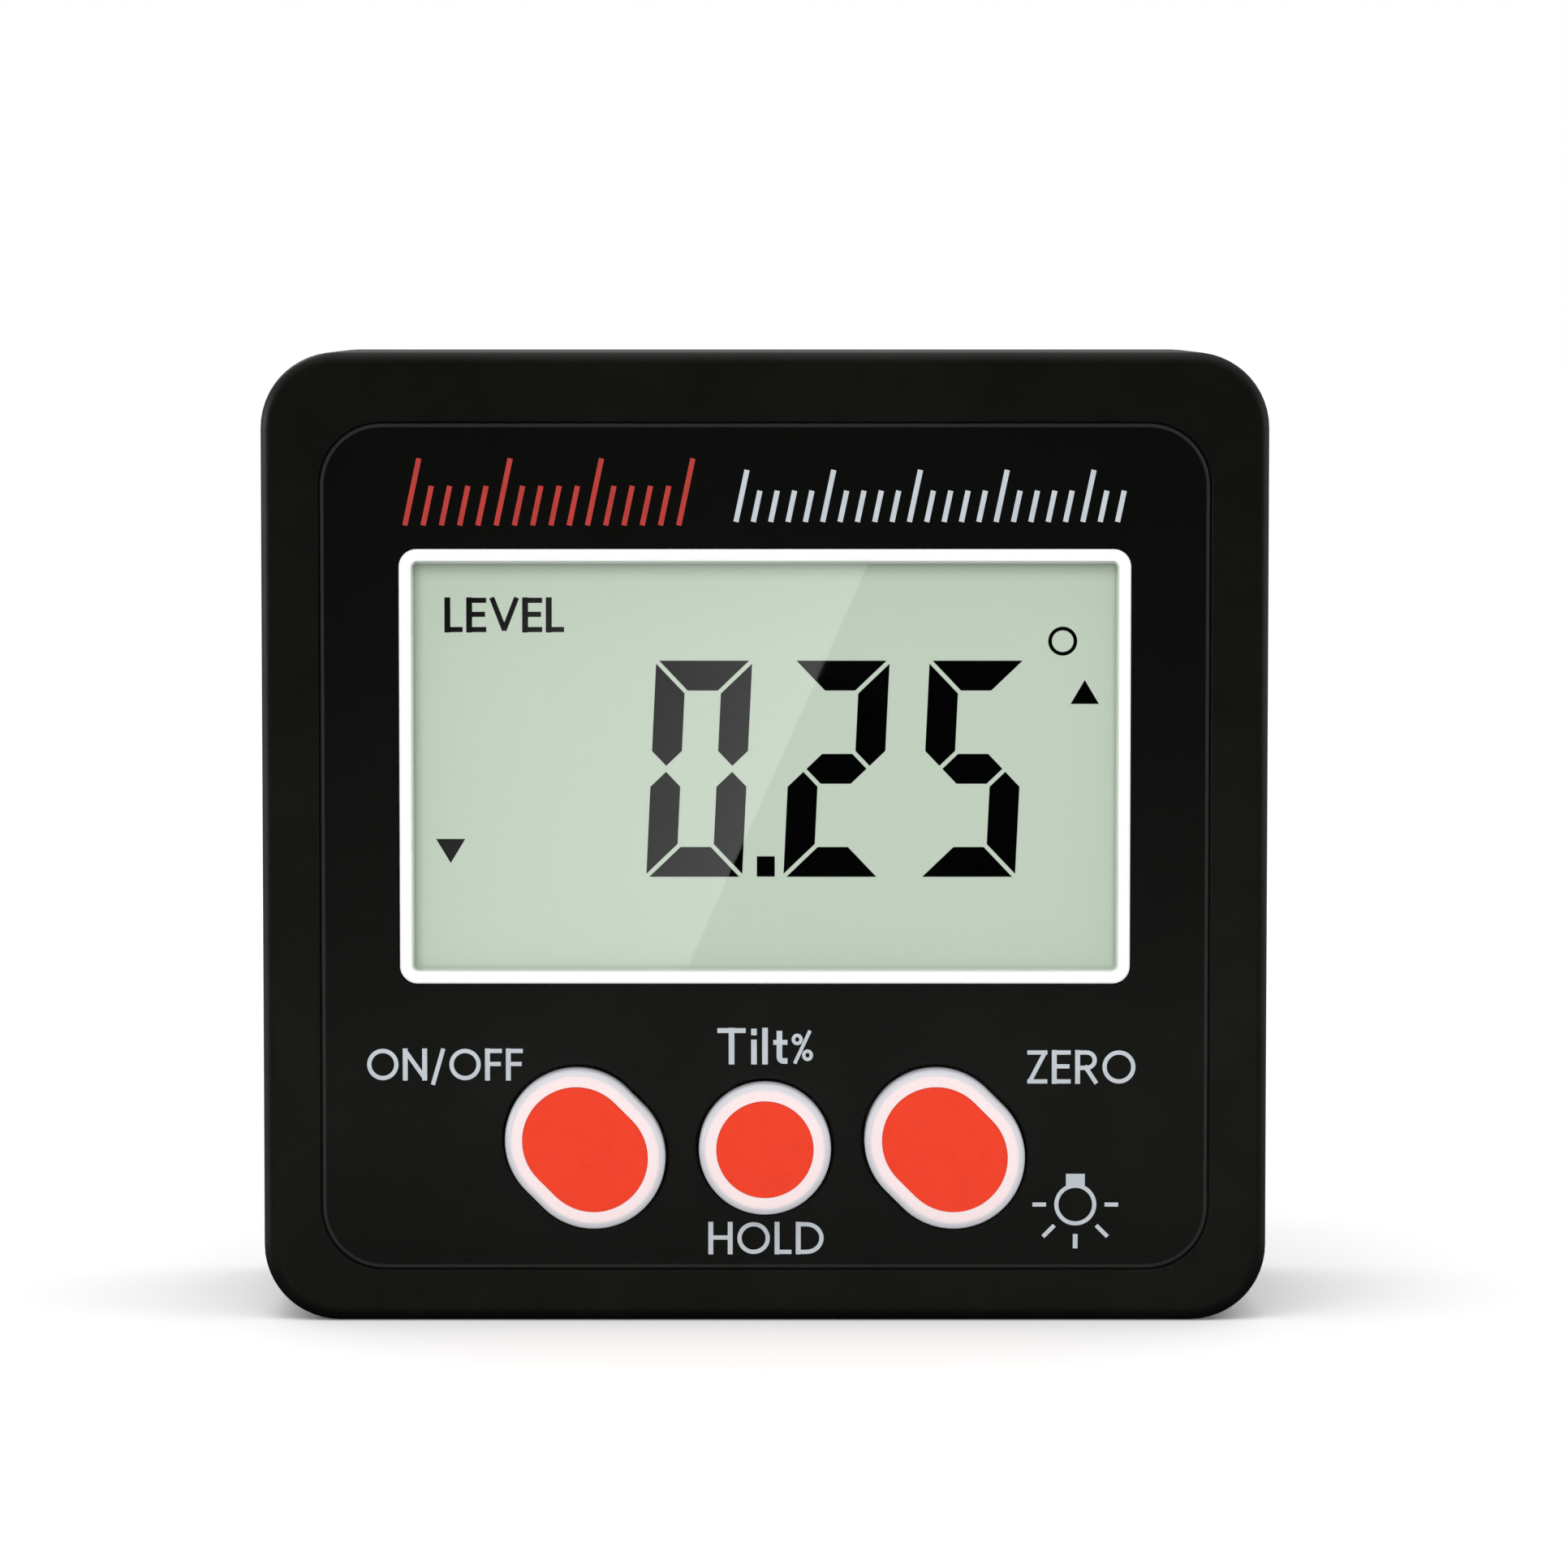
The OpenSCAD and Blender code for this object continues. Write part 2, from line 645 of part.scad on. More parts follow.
// Sealed cell that points its nub to the given side
module cell(side, z) translate([side * (bay_l / 2 - dome_h), cell_y, z]) rotate([0, -90 * side, 0])
    rotate_extrude() {
        nub_r = 1.9;
        nub_l = 0.8;
        rim = 0.4;
        square([nub_r, nub_l + cut]);
        translate([0, nub_l]) polygon([
            [0, 0], [cell_d / 2 - rim, 0], [cell_d / 2, rim],
            [cell_d / 2, cell_l - nub_l - rim], [cell_d / 2 - rim, cell_l - nub_l], [0, cell_l - nub_l]
        ]);
    }

// Sheet contact in the end wall of the bay
module plate(side, z0, z1) slab(plate_y, plate_back_y)
    translate([side * (bay_l + plate_t) / 2, (z0 + z1) / 2]) square([plate_t, z1 - z0], center = true);

// Pressed dome that meets a cell's nub
module dome(side, z) translate([side * bay_l / 2, cell_y, z]) rotate([0, -90 * side, 0]) rotate_extrude() {
    base_r = 1.5;
    ball_r = (base_r * base_r + dome_h * dome_h) / (2 * dome_h);
    intersection() {
        translate([0, dome_h - ball_r]) circle(ball_r);
        square([base_r, dome_h]);
    }
}

// Conical spring, a round wire wound from the plate to the cell's flat end
spring_turns = 3.5;
spring_steps = 48;
spring_sides = 6;
spring_wide = 0.315 * cell_d;
spring_narrow = 0.18 * cell_d;
function spring_ring(i) = let (
    t = i / spring_steps,
    turn = 360 * spring_turns * t,
    radius = spring_wide + (spring_narrow - spring_wide) * t,
    height = wire_r + 0.02 + (spring_l - 2 * wire_r - 0.04) * t
) [for (k = [0 : spring_sides - 1]) let (
    a = 360 * k / spring_sides,
    reach = radius + wire_r * cos(a)
) [reach * cos(turn), reach * sin(turn), height + wire_r * sin(a)]];

module spring(side, z) translate([side * bay_l / 2, cell_y, z]) rotate([0, -90 * side, 0])
    polyhedron(
        points = [for (i = [0 : spring_steps]) each spring_ring(i)],
        faces = [
            [for (k = [spring_sides - 1 : -1 : 0]) k],
            [for (k = [0 : spring_sides - 1]) spring_steps * spring_sides + k],
            for (i = [0 : spring_steps - 1], k = [0 : spring_sides - 1]) let (
                here = i * spring_sides,
                next = here + spring_sides,
                k2 = (k + 1) % spring_sides
            ) [here + k2, next + k2, next + k, here + k]
        ]
    );

// Tab that runs from a contact through the floor of the bay
module solder_tab(z) slab(tab_y, plate_y + cut)
    translate([bay_l / 2, z - tab_w / 2]) square([plate_t, tab_w]);

module jumper_contact() color("#c8cacb") {
    plate(-1, cell_zs[1] - plate_w / 2, cell_zs[0] + plate_w / 2);
    dome(-1, cell_zs[1]);
    spring(-1, cell_zs[0]);
}

module positive_contact() color("#c8cacb") {
    plate(1, cell_zs[0] - plate_w / 2, cell_zs[0] + plate_w / 2);
    dome(1, cell_zs[0]);
    solder_tab(cell_zs[0]);
}

module negative_contact() color("#c8cacb") {
    plate(1, cell_zs[1] - plate_w / 2, cell_zs[1] + plate_w / 2);
    spring(1, cell_zs[1]);
    solder_tab(cell_zs[1]);
}

// Short wire from a contact's tab to its pad on the board
module lead(z) {
    turn_x = bay_l / 2 - lead_run;
    translate([turn_x, lead_y, z]) rotate([0, 90, 0]) cylinder(r = lead_r, h = lead_run);
    translate([turn_x, lead_y - lead_bend, z]) rotate(90)
        rotate_extrude(angle = 90) translate([lead_bend, 0]) circle(lead_r);
    bar(turn_x - lead_bend, z, lead_r, board_back_y, lead_y - lead_bend);
}

module base_magnets() color("#a9adb0") for (x = magnet_xs)
    translate([x, magnet_y, magnet_inset]) cylinder(r = magnet_d / 2, h = magnet_t);

front_case();
rear_cover();
battery_door();
face_label();
window_bezel();
window_lens();
lcd_panel();
light_guide();
backlight_leds();
lcd_frame();
lcd_connector();
circuit_board();
controller_chip();
tilt_sensor();
clock_crystal();
board_capacitors();
push_switch(button_xs[0]);  // power_switch
push_switch(button_xs[1]);  // hold_switch
push_switch(button_xs[2]);  // zero_switch
switch_plunger(button_xs[0]);  // power_plunger
switch_plunger(button_xs[1]);  // hold_plunger
switch_plunger(button_xs[2]);  // zero_plunger
button_cap(button_xs[0]);  // power_button
button_cap(button_xs[1]);  // hold_button
button_cap(button_xs[2]);  // zero_button
button_inlay(button_xs[0]);  // power_button_inlay
button_inlay(button_xs[1]);  // hold_button_inlay
button_inlay(button_xs[2]);  // zero_button_inlay
color("#3a3c40") cell(1, cell_zs[0]);  // upper_battery
color("#3a3c40") cell(-1, cell_zs[1]);  // lower_battery
jumper_contact();
positive_contact();
negative_contact();
color("#b3261e") lead(cell_zs[0]);  // positive_lead
color("#1c1c1e") lead(cell_zs[1]);  // negative_lead
base_magnets();
case_screws();
board_screws();
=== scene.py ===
import math

import bmesh
import bpy
from mathutils import Matrix, Vector


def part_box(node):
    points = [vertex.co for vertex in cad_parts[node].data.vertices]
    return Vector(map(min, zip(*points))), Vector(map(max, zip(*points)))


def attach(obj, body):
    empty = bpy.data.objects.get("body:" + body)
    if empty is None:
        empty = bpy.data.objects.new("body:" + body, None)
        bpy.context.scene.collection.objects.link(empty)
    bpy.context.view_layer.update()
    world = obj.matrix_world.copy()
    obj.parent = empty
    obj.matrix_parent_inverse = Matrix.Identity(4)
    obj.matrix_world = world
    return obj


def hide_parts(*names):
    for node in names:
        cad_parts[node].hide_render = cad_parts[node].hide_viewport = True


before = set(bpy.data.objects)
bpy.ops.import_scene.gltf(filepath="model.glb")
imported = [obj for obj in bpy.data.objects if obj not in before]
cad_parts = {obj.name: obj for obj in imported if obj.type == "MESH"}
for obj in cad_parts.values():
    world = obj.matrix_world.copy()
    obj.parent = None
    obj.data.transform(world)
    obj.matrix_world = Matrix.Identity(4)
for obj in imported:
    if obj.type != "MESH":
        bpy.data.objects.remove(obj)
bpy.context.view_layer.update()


# Front case. A deep tub of black ABS, moulded in one shot with a fine spark-eroded grain.
# Every other piece is fixed to it, and its rim stands a little proud of the face label.

mm = 0.001
case_black = (0.003, 0.0035, 0.0027)
case_rubbed = (0.0056, 0.0062, 0.0051)
abs_tint = (0.98, 1.0, 0.9, 1.0)
abs_surface = {"grain": 3600.0, "depth": 0.018, "edge": 0.14}

# The sockets of a Mix node that hold its two colours and the mixed one
colour_a, colour_b, colour_out = 6, 7, 2


def put(tree, kind, values=None, **settings):
    """Adds a node to a tree, with its settings and the values of its sockets."""
    node = tree.nodes.new(kind)
    for setting, value in settings.items():
        setattr(node, setting, value)
    for socket, value in (values or {}).items():
        node.inputs[socket].default_value = value
    return node


def new_group(name, inputs, outputs):
    """Starts a node group with named sockets, and returns it with its two ends."""
    tree = bpy.data.node_groups.new(name, "ShaderNodeTree")
    for label, kind, value in inputs:
        tree.interface.new_socket(label, in_out="INPUT", socket_type=kind).default_value = value
    for label, kind in outputs:
        tree.interface.new_socket(label, in_out="OUTPUT", socket_type=kind)
    return tree, tree.nodes.new("NodeGroupInput"), tree.nodes.new("NodeGroupOutput")


# The grain that a spark-eroded mould leaves: small pits over a finer swell
mould_grain, given, result = new_group(
    "mould grain",
    [("Scale", "NodeSocketFloat", 7000.0)],
    [("Height", "NodeSocketFloat")],
)
place = put(mould_grain, "ShaderNodeTexCoord")
pits = put(mould_grain, "ShaderNodeTexVoronoi")
swell = put(mould_grain, "ShaderNodeTexNoise", {"Detail": 3.0, "Roughness": 0.6})
total = put(mould_grain, "ShaderNodeMath", {1: 0.6}, operation="MULTIPLY_ADD")
for texture in (pits, swell):
    mould_grain.links.new(place.outputs["Object"], texture.inputs["Vector"])
    mould_grain.links.new(given.outputs["Scale"], texture.inputs["Scale"])
mould_grain.links.new(pits.outputs["Distance"], total.inputs[0])
mould_grain.links.new(swell.outputs["Fac"], total.inputs[2])
mould_grain.links.new(total.outputs[0], result.inputs["Height"])

# What handling leaves: soft patches where skin has rubbed the surface to another tone and smoother
handling, given, result = new_group(
    "handling",
    [
        ("Colour", "NodeSocketColor", (0.5, 0.5, 0.5, 1.0)),
        ("Rubbed", "NodeSocketColor", (0.6, 0.6, 0.6, 1.0)),
        ("Roughness", "NodeSocketFloat", 0.5),
        ("Spread", "NodeSocketFloat", 130.0),
    ],
    [("Colour", "NodeSocketColor"), ("Roughness", "NodeSocketFloat")],
)
place = put(handling, "ShaderNodeTexCoord")
patches = put(handling, "ShaderNodeTexNoise", {"Detail": 5.0, "Roughness": 0.65})
speckle = put(handling, "ShaderNodeTexNoise", {"Scale": 2600.0, "Detail": 2.0})
rubbing = put(handling, "ShaderNodeMapRange", {"From Min": 0.42, "From Max": 0.75})
share = put(handling, "ShaderNodeMath", {1: 0.35}, operation="MULTIPLY_ADD")
tint = put(handling, "ShaderNodeMix", data_type="RGBA")
smear = put(handling, "ShaderNodeMath", {1: -0.06}, operation="MULTIPLY_ADD")
for texture in (patches, speckle):
    handling.links.new(place.outputs["Object"], texture.inputs["Vector"])
handling.links.new(given.outputs["Spread"], patches.inputs["Scale"])
handling.links.new(patches.outputs["Fac"], rubbing.inputs["Value"])
handling.links.new(speckle.outputs["Fac"], share.inputs[0])
handling.links.new(rubbing.outputs["Result"], share.inputs[2])
handling.links.new(share.outputs[0], tint.inputs["Factor"])
handling.links.new(given.outputs["Colour"], tint.inputs[colour_a])
handling.links.new(given.outputs["Rubbed"], tint.inputs[colour_b])
handling.links.new(rubbing.outputs["Result"], smear.inputs[0])
handling.links.new(given.outputs["Roughness"], smear.inputs[2])
handling.links.new(tint.outputs[colour_out], result.inputs["Colour"])
handling.links.new(smear.outputs[0], result.inputs["Roughness"])

# Where a piece's surface turns away from its flat front: its rounded rims and cut edges, the mask for a
# tone painted there, a painted highlight on the label's cut edge and painted shade on the caps' rims
painted_rim_mask, given, result = new_group("painted rim mask", [], [("Mask", "NodeSocketFloat")])
place = put(painted_rim_mask, "ShaderNodeTexCoord")
apart = put(painted_rim_mask, "ShaderNodeSeparateXYZ")
away = put(painted_rim_mask, "ShaderNodeMapRange", {"From Min": -0.998, "From Max": -0.92})
painted_rim_mask.links.new(place.outputs["Normal"], apart.inputs["Vector"])
painted_rim_mask.links.new(apart.outputs["Y"], away.inputs["Value"])
painted_rim_mask.links.new(away.outputs["Result"], result.inputs["Mask"])


def moulded(name, colour, rubbed, roughness, grain=7000.0, depth=0.004, edge=0.0, spread=130.0, rim=None):
    """A moulded finish: handled colour and gloss, and mould grain with a depth in millimetres. Edge is
    the radius, in millimetres, that the edges seem to have, and rim is a tone painted on a turned rim:
    painted light or painted shade where the surface turns away from its front."""
    material = bpy.data.materials.new(name)
    material.use_nodes = True
    tree = material.node_tree
    shader = tree.nodes["Principled BSDF"]
    hands = put(
        tree, "ShaderNodeGroup",
        {"Colour": (*colour, 1.0), "Rubbed": (*rubbed, 1.0), "Roughness": roughness, "Spread": spread},
        node_tree=handling,
    )
    grit = put(tree, "ShaderNodeGroup", {"Scale": grain}, node_tree=mould_grain)
    bump = put(tree, "ShaderNodeBump", {"Strength": 0.6, "Distance": depth * mm})
    tone = hands.outputs["Colour"]
    # A turned rim gets a painted tone: painted light or painted shade on the slopes that turn away from the
    # front
    if rim:
        sides = put(tree, "ShaderNodeGroup", node_tree=painted_rim_mask)
        painted_rim_tone = put(tree, "ShaderNodeMix", {colour_b: (*rim, 1.0)}, data_type="RGBA")
        tree.links.new(sides.outputs["Mask"], painted_rim_tone.inputs["Factor"])
        tree.links.new(tone, painted_rim_tone.inputs[colour_a])
        tone = painted_rim_tone.outputs[colour_out]
    tree.links.new(tone, shader.inputs["Base Color"])
    tree.links.new(hands.outputs["Roughness"], shader.inputs["Roughness"])
    tree.links.new(grit.outputs["Height"], bump.inputs["Height"])
    tree.links.new(bump.outputs["Normal"], shader.inputs["Normal"])
    if edge:
        rounding = put(tree, "ShaderNodeBevel", {"Radius": edge * mm}, samples=6)
        tree.links.new(rounding.outputs["Normal"], bump.inputs["Normal"])
    return material


def sheen(material, level, tint=(1.0, 1.0, 1.0, 1.0)):
    """Sets how strongly a finish mirrors the light, and in which tint."""
    shader = material.node_tree.nodes["Principled BSDF"]
    shader.inputs["Specular IOR Level"].default_value = level
    shader.inputs["Specular Tint"].default_value = tint


def finish(node, material):
    """Gives a solid that stays as it is its real finish."""
    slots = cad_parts[node].data.materials
    slots.clear()
    slots.append(material)


case_plastic = moulded("case plastic", case_black, case_rubbed, 0.46, **abs_surface)
sheen(case_plastic, 0.28, abs_tint)
finish("front_case", case_plastic)


# Face label. A polycarbonate film, printed black on its back and bonded into the face's recess.
# It is die cut round the bezel and the buttons, and its cut edge is painted a lighter grey: partly the
# clear film's own edge, partly a painted highlight for the thin line of light that the edge catches.

label_low, label_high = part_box("face_label")
label_front = label_low.y
label_middle = ((label_low.x + label_high.x) / 2, (label_low.z + label_high.z) / 2)
label_w, label_h = label_high.x - label_low.x, label_high.z - label_low.z
label_corner = 3.5 * mm
label_edge = 0.22 * mm
bezel_low, bezel_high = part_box("window_bezel")
window_z = (bezel_low.z + bezel_high.z) / 2
opening_w, opening_h, opening_corner = 41.6 * mm, 24.85 * mm, 1.1 * mm

# Each button's place across, the radius of its ends and how far these stand from its middle
outer_x, oval_r, oval_run, round_r = 10.2 * mm, 4.06 * mm, 0.7 * mm, 3.75 * mm
buttons = {
    "power": (-outer_x, oval_r, oval_run),
    "hold": (0, round_r, 0),
    "zero": (outer_x, oval_r, oval_run),
}
button_z = 9.9 * mm
button_tilt = math.radians(45)
button_gap = 0.25 * mm

# A full round stops just short of half a side, and the points that meet there are merged
nearly_half = 0.4999
round_gap = 0.005 * mm


def outline(bm, centre, width, height, corner, y, turn=0.0, segments=12):
    """Adds a closed wire outline with round corners, upright at one depth, and returns its edges."""
    flat = bmesh.new()
    bmesh.ops.create_grid(flat, x_segments=1, y_segments=1, size=0.5)
    bmesh.ops.scale(flat, vec=(width, height, 1), verts=flat.verts)
    bmesh.ops.bevel(
        flat, geom=flat.verts[:], offset=min(corner, nearly_half * width, nearly_half * height),
        offset_type="OFFSET", segments=segments, profile=0.5, affect="VERTICES", material=-1,
        clamp_overlap=False,
    )
    bmesh.ops.delete(flat, geom=flat.faces[:], context="FACES_ONLY")
    bmesh.ops.remove_doubles(flat, verts=flat.verts, dist=round_gap)
    upright = Matrix.Rotation(turn, 3, "Y") @ Matrix.Rotation(math.radians(90), 3, "X")
    bmesh.ops.rotate(flat, cent=(0, 0, 0), matrix=upright, verts=flat.verts)
    bmesh.ops.translate(flat, vec=(centre[0], y, centre[1]), verts=flat.verts)
    wire = bpy.data.meshes.new("outline")
    flat.to_mesh(wire)
    flat.free()
    before = len(bm.edges)
    bm.from_mesh(wire)
    bpy.data.meshes.remove(wire)
    bm.edges.ensure_lookup_table()
    return bm.edges[before:]


def thicken(bm, faces, depth):
    """Draws faces out along Y into a closed block, and returns the faces at its far end."""
    drawn = bmesh.ops.extrude_face_region(bm, geom=faces, use_keep_orig=True)["geom"]
    far = [g for g in drawn if isinstance(g, bmesh.types.BMVert)]
    bmesh.ops.translate(bm, vec=(0, depth, 0), verts=far)
    return [g for g in drawn if isinstance(g, bmesh.types.BMFace)]


def soften(bm, loop, width, segments):
    """Rounds over one outline of a piece."""
    bmesh.ops.bevel(
        bm, geom=list(loop), offset=width, offset_type="OFFSET", segments=segments, profile=0.5,
        affect="EDGES", material=-1, clamp_overlap=False,
    )


def keep(name, bm, material, body, replaces=None, smooth=True):
    """Turns a finished bmesh into a piece that rides on a body."""
    mesh = bpy.data.meshes.new(name)
    bmesh.ops.recalc_face_normals(bm, faces=bm.faces)
    bm.to_mesh(mesh)
    bm.free()
    piece = bpy.data.objects.new(name, mesh)
    bpy.context.scene.collection.objects.link(piece)
    mesh.materials.append(material)
    if smooth:
        mesh.shade_smooth()
        mesh.set_sharp_from_angle(angle=math.radians(35))
        evened = piece.modifiers.new("even normals", "WEIGHTED_NORMAL")
        evened.keep_sharp = True
    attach(piece, body)
    if replaces:
        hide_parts(replaces)


def die_cut(name, bm, thickness, rim, edge, material, replaces):
    """Fills the outlines in a bmesh, gives the sheet its thickness and eases the rim of its front."""
    bmesh.ops.triangle_fill(bm, edges=bm.edges[:], use_beauty=True)
    thicken(bm, bm.faces[:], thickness)
    bmesh.ops.recalc_face_normals(bm, faces=bm.faces)
    soften(bm, rim, edge, 3)
    keep(name, bm, material, "case", replaces, smooth=False)


# The rim tone is a painted highlight on the cut edge, with some of the clear film's own lighter edge
label_film = moulded(
    "label film", (0.0014, 0.0017, 0.0013), (0.0022, 0.0026, 0.0021), 0.42,
    grain=2600.0, depth=0.0012, rim=(0.055, 0.058, 0.054),
)
sheen(label_film, 0.32, (0.98, 1.0, 0.92, 1.0))

bm = bmesh.new()
label_rim = outline(bm, label_middle, label_w, label_h, label_corner, label_front)
outline(bm, (0, window_z), opening_w, opening_h, opening_corner, label_front)
for x, end_r, run in buttons.values():
    hole = end_r + button_gap
    outline(bm, (x, button_z), 2 * (hole + run), 2 * hole, hole, label_front, button_tilt, 16)
label_t = label_high.y - label_front
die_cut("label_film", bm, label_t, label_rim, label_edge, label_film, "face_label")


# Printing on the label. Screen-printed ink in a cool light grey and in red, a few hundredths
# of a millimetre thick: the words for the buttons, the lamp sign and two rows of slanted ticks.

ink_t = 0.03 * mm
ink_surface = {"roughness": 0.55, "grain": 5200.0, "depth": 0.002, "spread": 420.0}
grey_ink = moulded("grey ink", (0.53, 0.575, 0.61), (0.46, 0.5, 0.54), **ink_surface)
red_ink = moulded("red ink", (0.5, 0.022, 0.012), (0.42, 0.017, 0.01), **ink_surface)
touching = 0.001 * mm


def arc(cx, cz, r, start, end, steps=14):
    """Points along part of a circle, angles in degrees."""
    turns = [math.radians(start + (end - start) * i / steps) for i in range(steps + 1)]
    return [(cx + r * math.cos(a), cz + r * math.sin(a)) for a in turns]


# Plain single-stroke letters, one unit high: width, then strokes
letters = {
    "O": (0.95, [[(0.95 * px, pz) for px, pz in arc(0.5, 0.5, 0.5, 0, 360, 32)]]),
    "N": (0.68, [[(0, 0), (0, 1), (0.68, 0), (0.68, 1)]]),
    "/": (0.32, [[(0, -0.16), (0.32, 1)]]),
    "F": (0.42, [[(0, 0), (0, 1), (0.42, 1)], [(0, 0.52), (0.38, 0.52)]]),
    "H": (0.65, [[(0, 0), (0, 1)], [(0.65, 0), (0.65, 1)], [(0, 0.52), (0.65, 0.52)]]),
    "L": (0.4, [[(0, 1), (0, 0), (0.4, 0)]]),
    "D": (0.78, [[(0, 0), (0, 1)] + arc(0.28, 0.5, 0.5, 90, -90) + [(0, 0)]]),
    "Z": (0.5, [[(0, 1), (0.5, 1), (0, 0), (0.5, 0)]]),
    "E": (0.46, [[(0.46, 1), (0, 1), (0, 0), (0.46, 0)], [(0, 0.52), (0.42, 0.52)]]),
    "R": (0.58, [
        [(0, 0), (0, 1)] + arc(0.3, 0.735, 0.265, 90, -90) + [(0, 0.47)],
        [(0.28, 0.47), (0.58, 0)],
    ]),
    "T": (0.74, [[(0, 1), (0.74, 1)], [(0.37, 1), (0.37, 0)]]),
    "V": (0.74, [[(0, 1), (0.37, 0), (0.74, 1)]]),
    "i": (0.0, [[(0, 0), (0, 0.62)], [(0, 0.94), (0, 0.97)]]),
    "l": (0.0, [[(0, 0), (0, 1)]]),
    "t": (0.28, [
        [(0.11, 0.9), (0.11, 0.16)] + arc(0.24, 0.15, 0.13, 180, 270, 6) + [(0.28, 0.02)],
        [(0, 0.62), (0.28, 0.62)],
    ]),
    "%": (0.66, [
        arc(0.14, 0.76, 0.14, 0, 360, 20),
        arc(0.52, 0.22, 0.14, 0, 360, 20),
        [(0.58, 1.0), (0.08, 0)],
    ]),
}


def full_runs(points, width):
    """Breaks a stroke where it turns sharply, and lengthens each run so that corners and ends are full."""
    sharp_cosine, square_slope = 0.8, 0.05
    full, slight = 0.5, 0.15
    closed = math.dist(points[0], points[-1]) < touching
    points = [Vector(point) for point in points]
    ways = [(b - a).normalized() for a, b in zip(points, points[1:])]
    turns = [i + 1 for i, (a, b) in enumerate(zip(ways, ways[1:])) if a.dot(b) < sharp_cosine]
    if closed and not turns:
        return [(points[:-1], True)]
    last = len(points) - 1
    runs = []
    for start, end in zip([0] + turns, turns + [last]):
        run = points[start:end + 1]
        for tip, inner, free in ((0, 1, start == 0), (-1, -2, end == last)):
            way = (run[tip] - run[inner]).normalized()
            square_on = min(abs(way.x), abs(way.y)) < square_slope
            run[tip] = run[tip] + way * width * (full if square_on or free and not closed else slight)
        runs.append((run, False))
    return runs


def stroked(name, strokes, width, y, thickness, material):
    """Draws strokes, given as points across and up in metres, as one flat piece of ink."""
    curve = bpy.data.curves.new(name, "CURVE")
    curve.dimensions = "3D"
    curve.bevel_depth = width / 2
    curve.bevel_resolution = 1
    curve.use_fill_caps = True
    for points in strokes:
        for run, closed in full_runs(points, width):
            spline = curve.splines.new("POLY")
            spline.points.add(len(run) - 1)
            spline.use_cyclic_u = closed
            for point, place in zip(spline.points, run):
                point.co = (place.x, 0, place.y, 1)
    drawing = bpy.data.objects.new(name, curve)
    bpy.context.scene.collection.objects.link(drawing)
    bpy.context.view_layer.update()
    evaluated = drawing.evaluated_get(bpy.context.evaluated_depsgraph_get())
    mesh = bpy.data.meshes.new_from_object(evaluated)
    bpy.data.objects.remove(drawing)
    bm = bmesh.new()
    bm.from_mesh(mesh)
    bpy.data.meshes.remove(mesh)
    bmesh.ops.remove_doubles(bm, verts=bm.verts, dist=touching)
    bmesh.ops.scale(bm, vec=(1, thickness / width, 1), verts=bm.verts)
    bmesh.ops.translate(bm, vec=(0, y, 0), verts=bm.verts)
    keep(name, bm, material, "case")


def lettered(name, word, x0, x1, z0, z1, width, gap, y, material):
    """Sets a word in the plain letters so that it fills a place given in millimetres."""
    x0, x1, z0, z1, width = (size * mm for size in (x0, x1, z0, z1, width))
    natural = sum(letters[c][0] for c in word) + gap * (len(word) - 1)
    high = z1 - z0 - width
    wide = (x1 - x0 - width) / natural
    strokes = []
    pen = x0 + width / 2
    for c in word:
        for points in letters[c][1]:
            strokes.append([(pen + px * wide, z0 + width / 2 + pz * high) for px, pz in points])
        pen += (letters[c][0] + gap) * wide
    stroked(name, strokes, width, y, ink_t, material)


for name, word, left, right, low, high, stroke_w, gap in (
    ("word_on_off", "ON/OFF", -22.61, -13.75, 13.72, 15.55, 0.28, 0.31),
    ("word_tilt", "Tilt", -2.7, 1.28, 14.64, 16.73, 0.32, 0.36),
    ("sign_percent", "%", 1.5, 2.75, 14.68, 16.58, 0.23, 0.31),
    ("word_hold", "HOLD", -3.22, 3.36, 3.78, 5.64, 0.28, 0.31),
    ("word_zero", "ZERO", 14.9, 21.06, 13.53, 15.46, 0.28, 0.31),
):
    lettered(name, word, left, right, low, high, stroke_w, gap, label_front, grey_ink)

# The lamp sign: a round bulb, five rays, each from near to far, and three bars for the cap
lamp_x, lamp_z = 17.65 * mm, 6.63 * mm
lamp_r, lamp_w = 1.08 * mm, 0.27 * mm
lamp_rays = ((0, 1.8, 2.3), (180, 1.8, 2.3), (225, 1.82, 2.46), (270, 1.82, 2.37), (315, 1.82, 2.46))
lamp = [arc(lamp_x, lamp_z, lamp_r, 0, 360, 32)]
for turn, near, far in lamp_rays:
    a = math.radians(turn)
    lamp.append([(lamp_x + r * mm * math.cos(a), lamp_z + r * mm * math.sin(a)) for r in (near, far)])
for lift in (1.2, 1.42, 1.64):
    lamp.append([(lamp_x + dx * mm, lamp_z + lift * mm) for dx in (-0.4, 0.4)])
stroked("lamp_sign", lamp, lamp_w, label_front, ink_t, grey_ink)

tick_w = 0.34 * mm
tick_lean = math.tan(math.radians(12))
short_tick = 0.55
long_every = 5
for name, left, right, low, high, count, material, slot in (
    ("red_ticks", -20.3, -4.1, 45.4, 48.85, 16, red_ink, "key_red"),
    ("grey_ticks", -1.6, 20.5, 45.6, 48.2, 23, grey_ink, "bezel_white"),
):
    ticks = []
    for i in range(count):
        x = left + (right - left - tick_lean * (high - low)) * i / (count - 1)
        top = high if i % long_every == 0 else low + (high - low) * short_tick
        ticks.append([(x * mm, low * mm), ((x + tick_lean * (top - low)) * mm, top * mm)])
    stroked(name, ticks, tick_w, label_front, ink_t, material)


# Window bezel. A white ABS frame pushed through the face from inside, with a rounded front edge.
# Its flange is bonded behind the front wall and carries the lens.

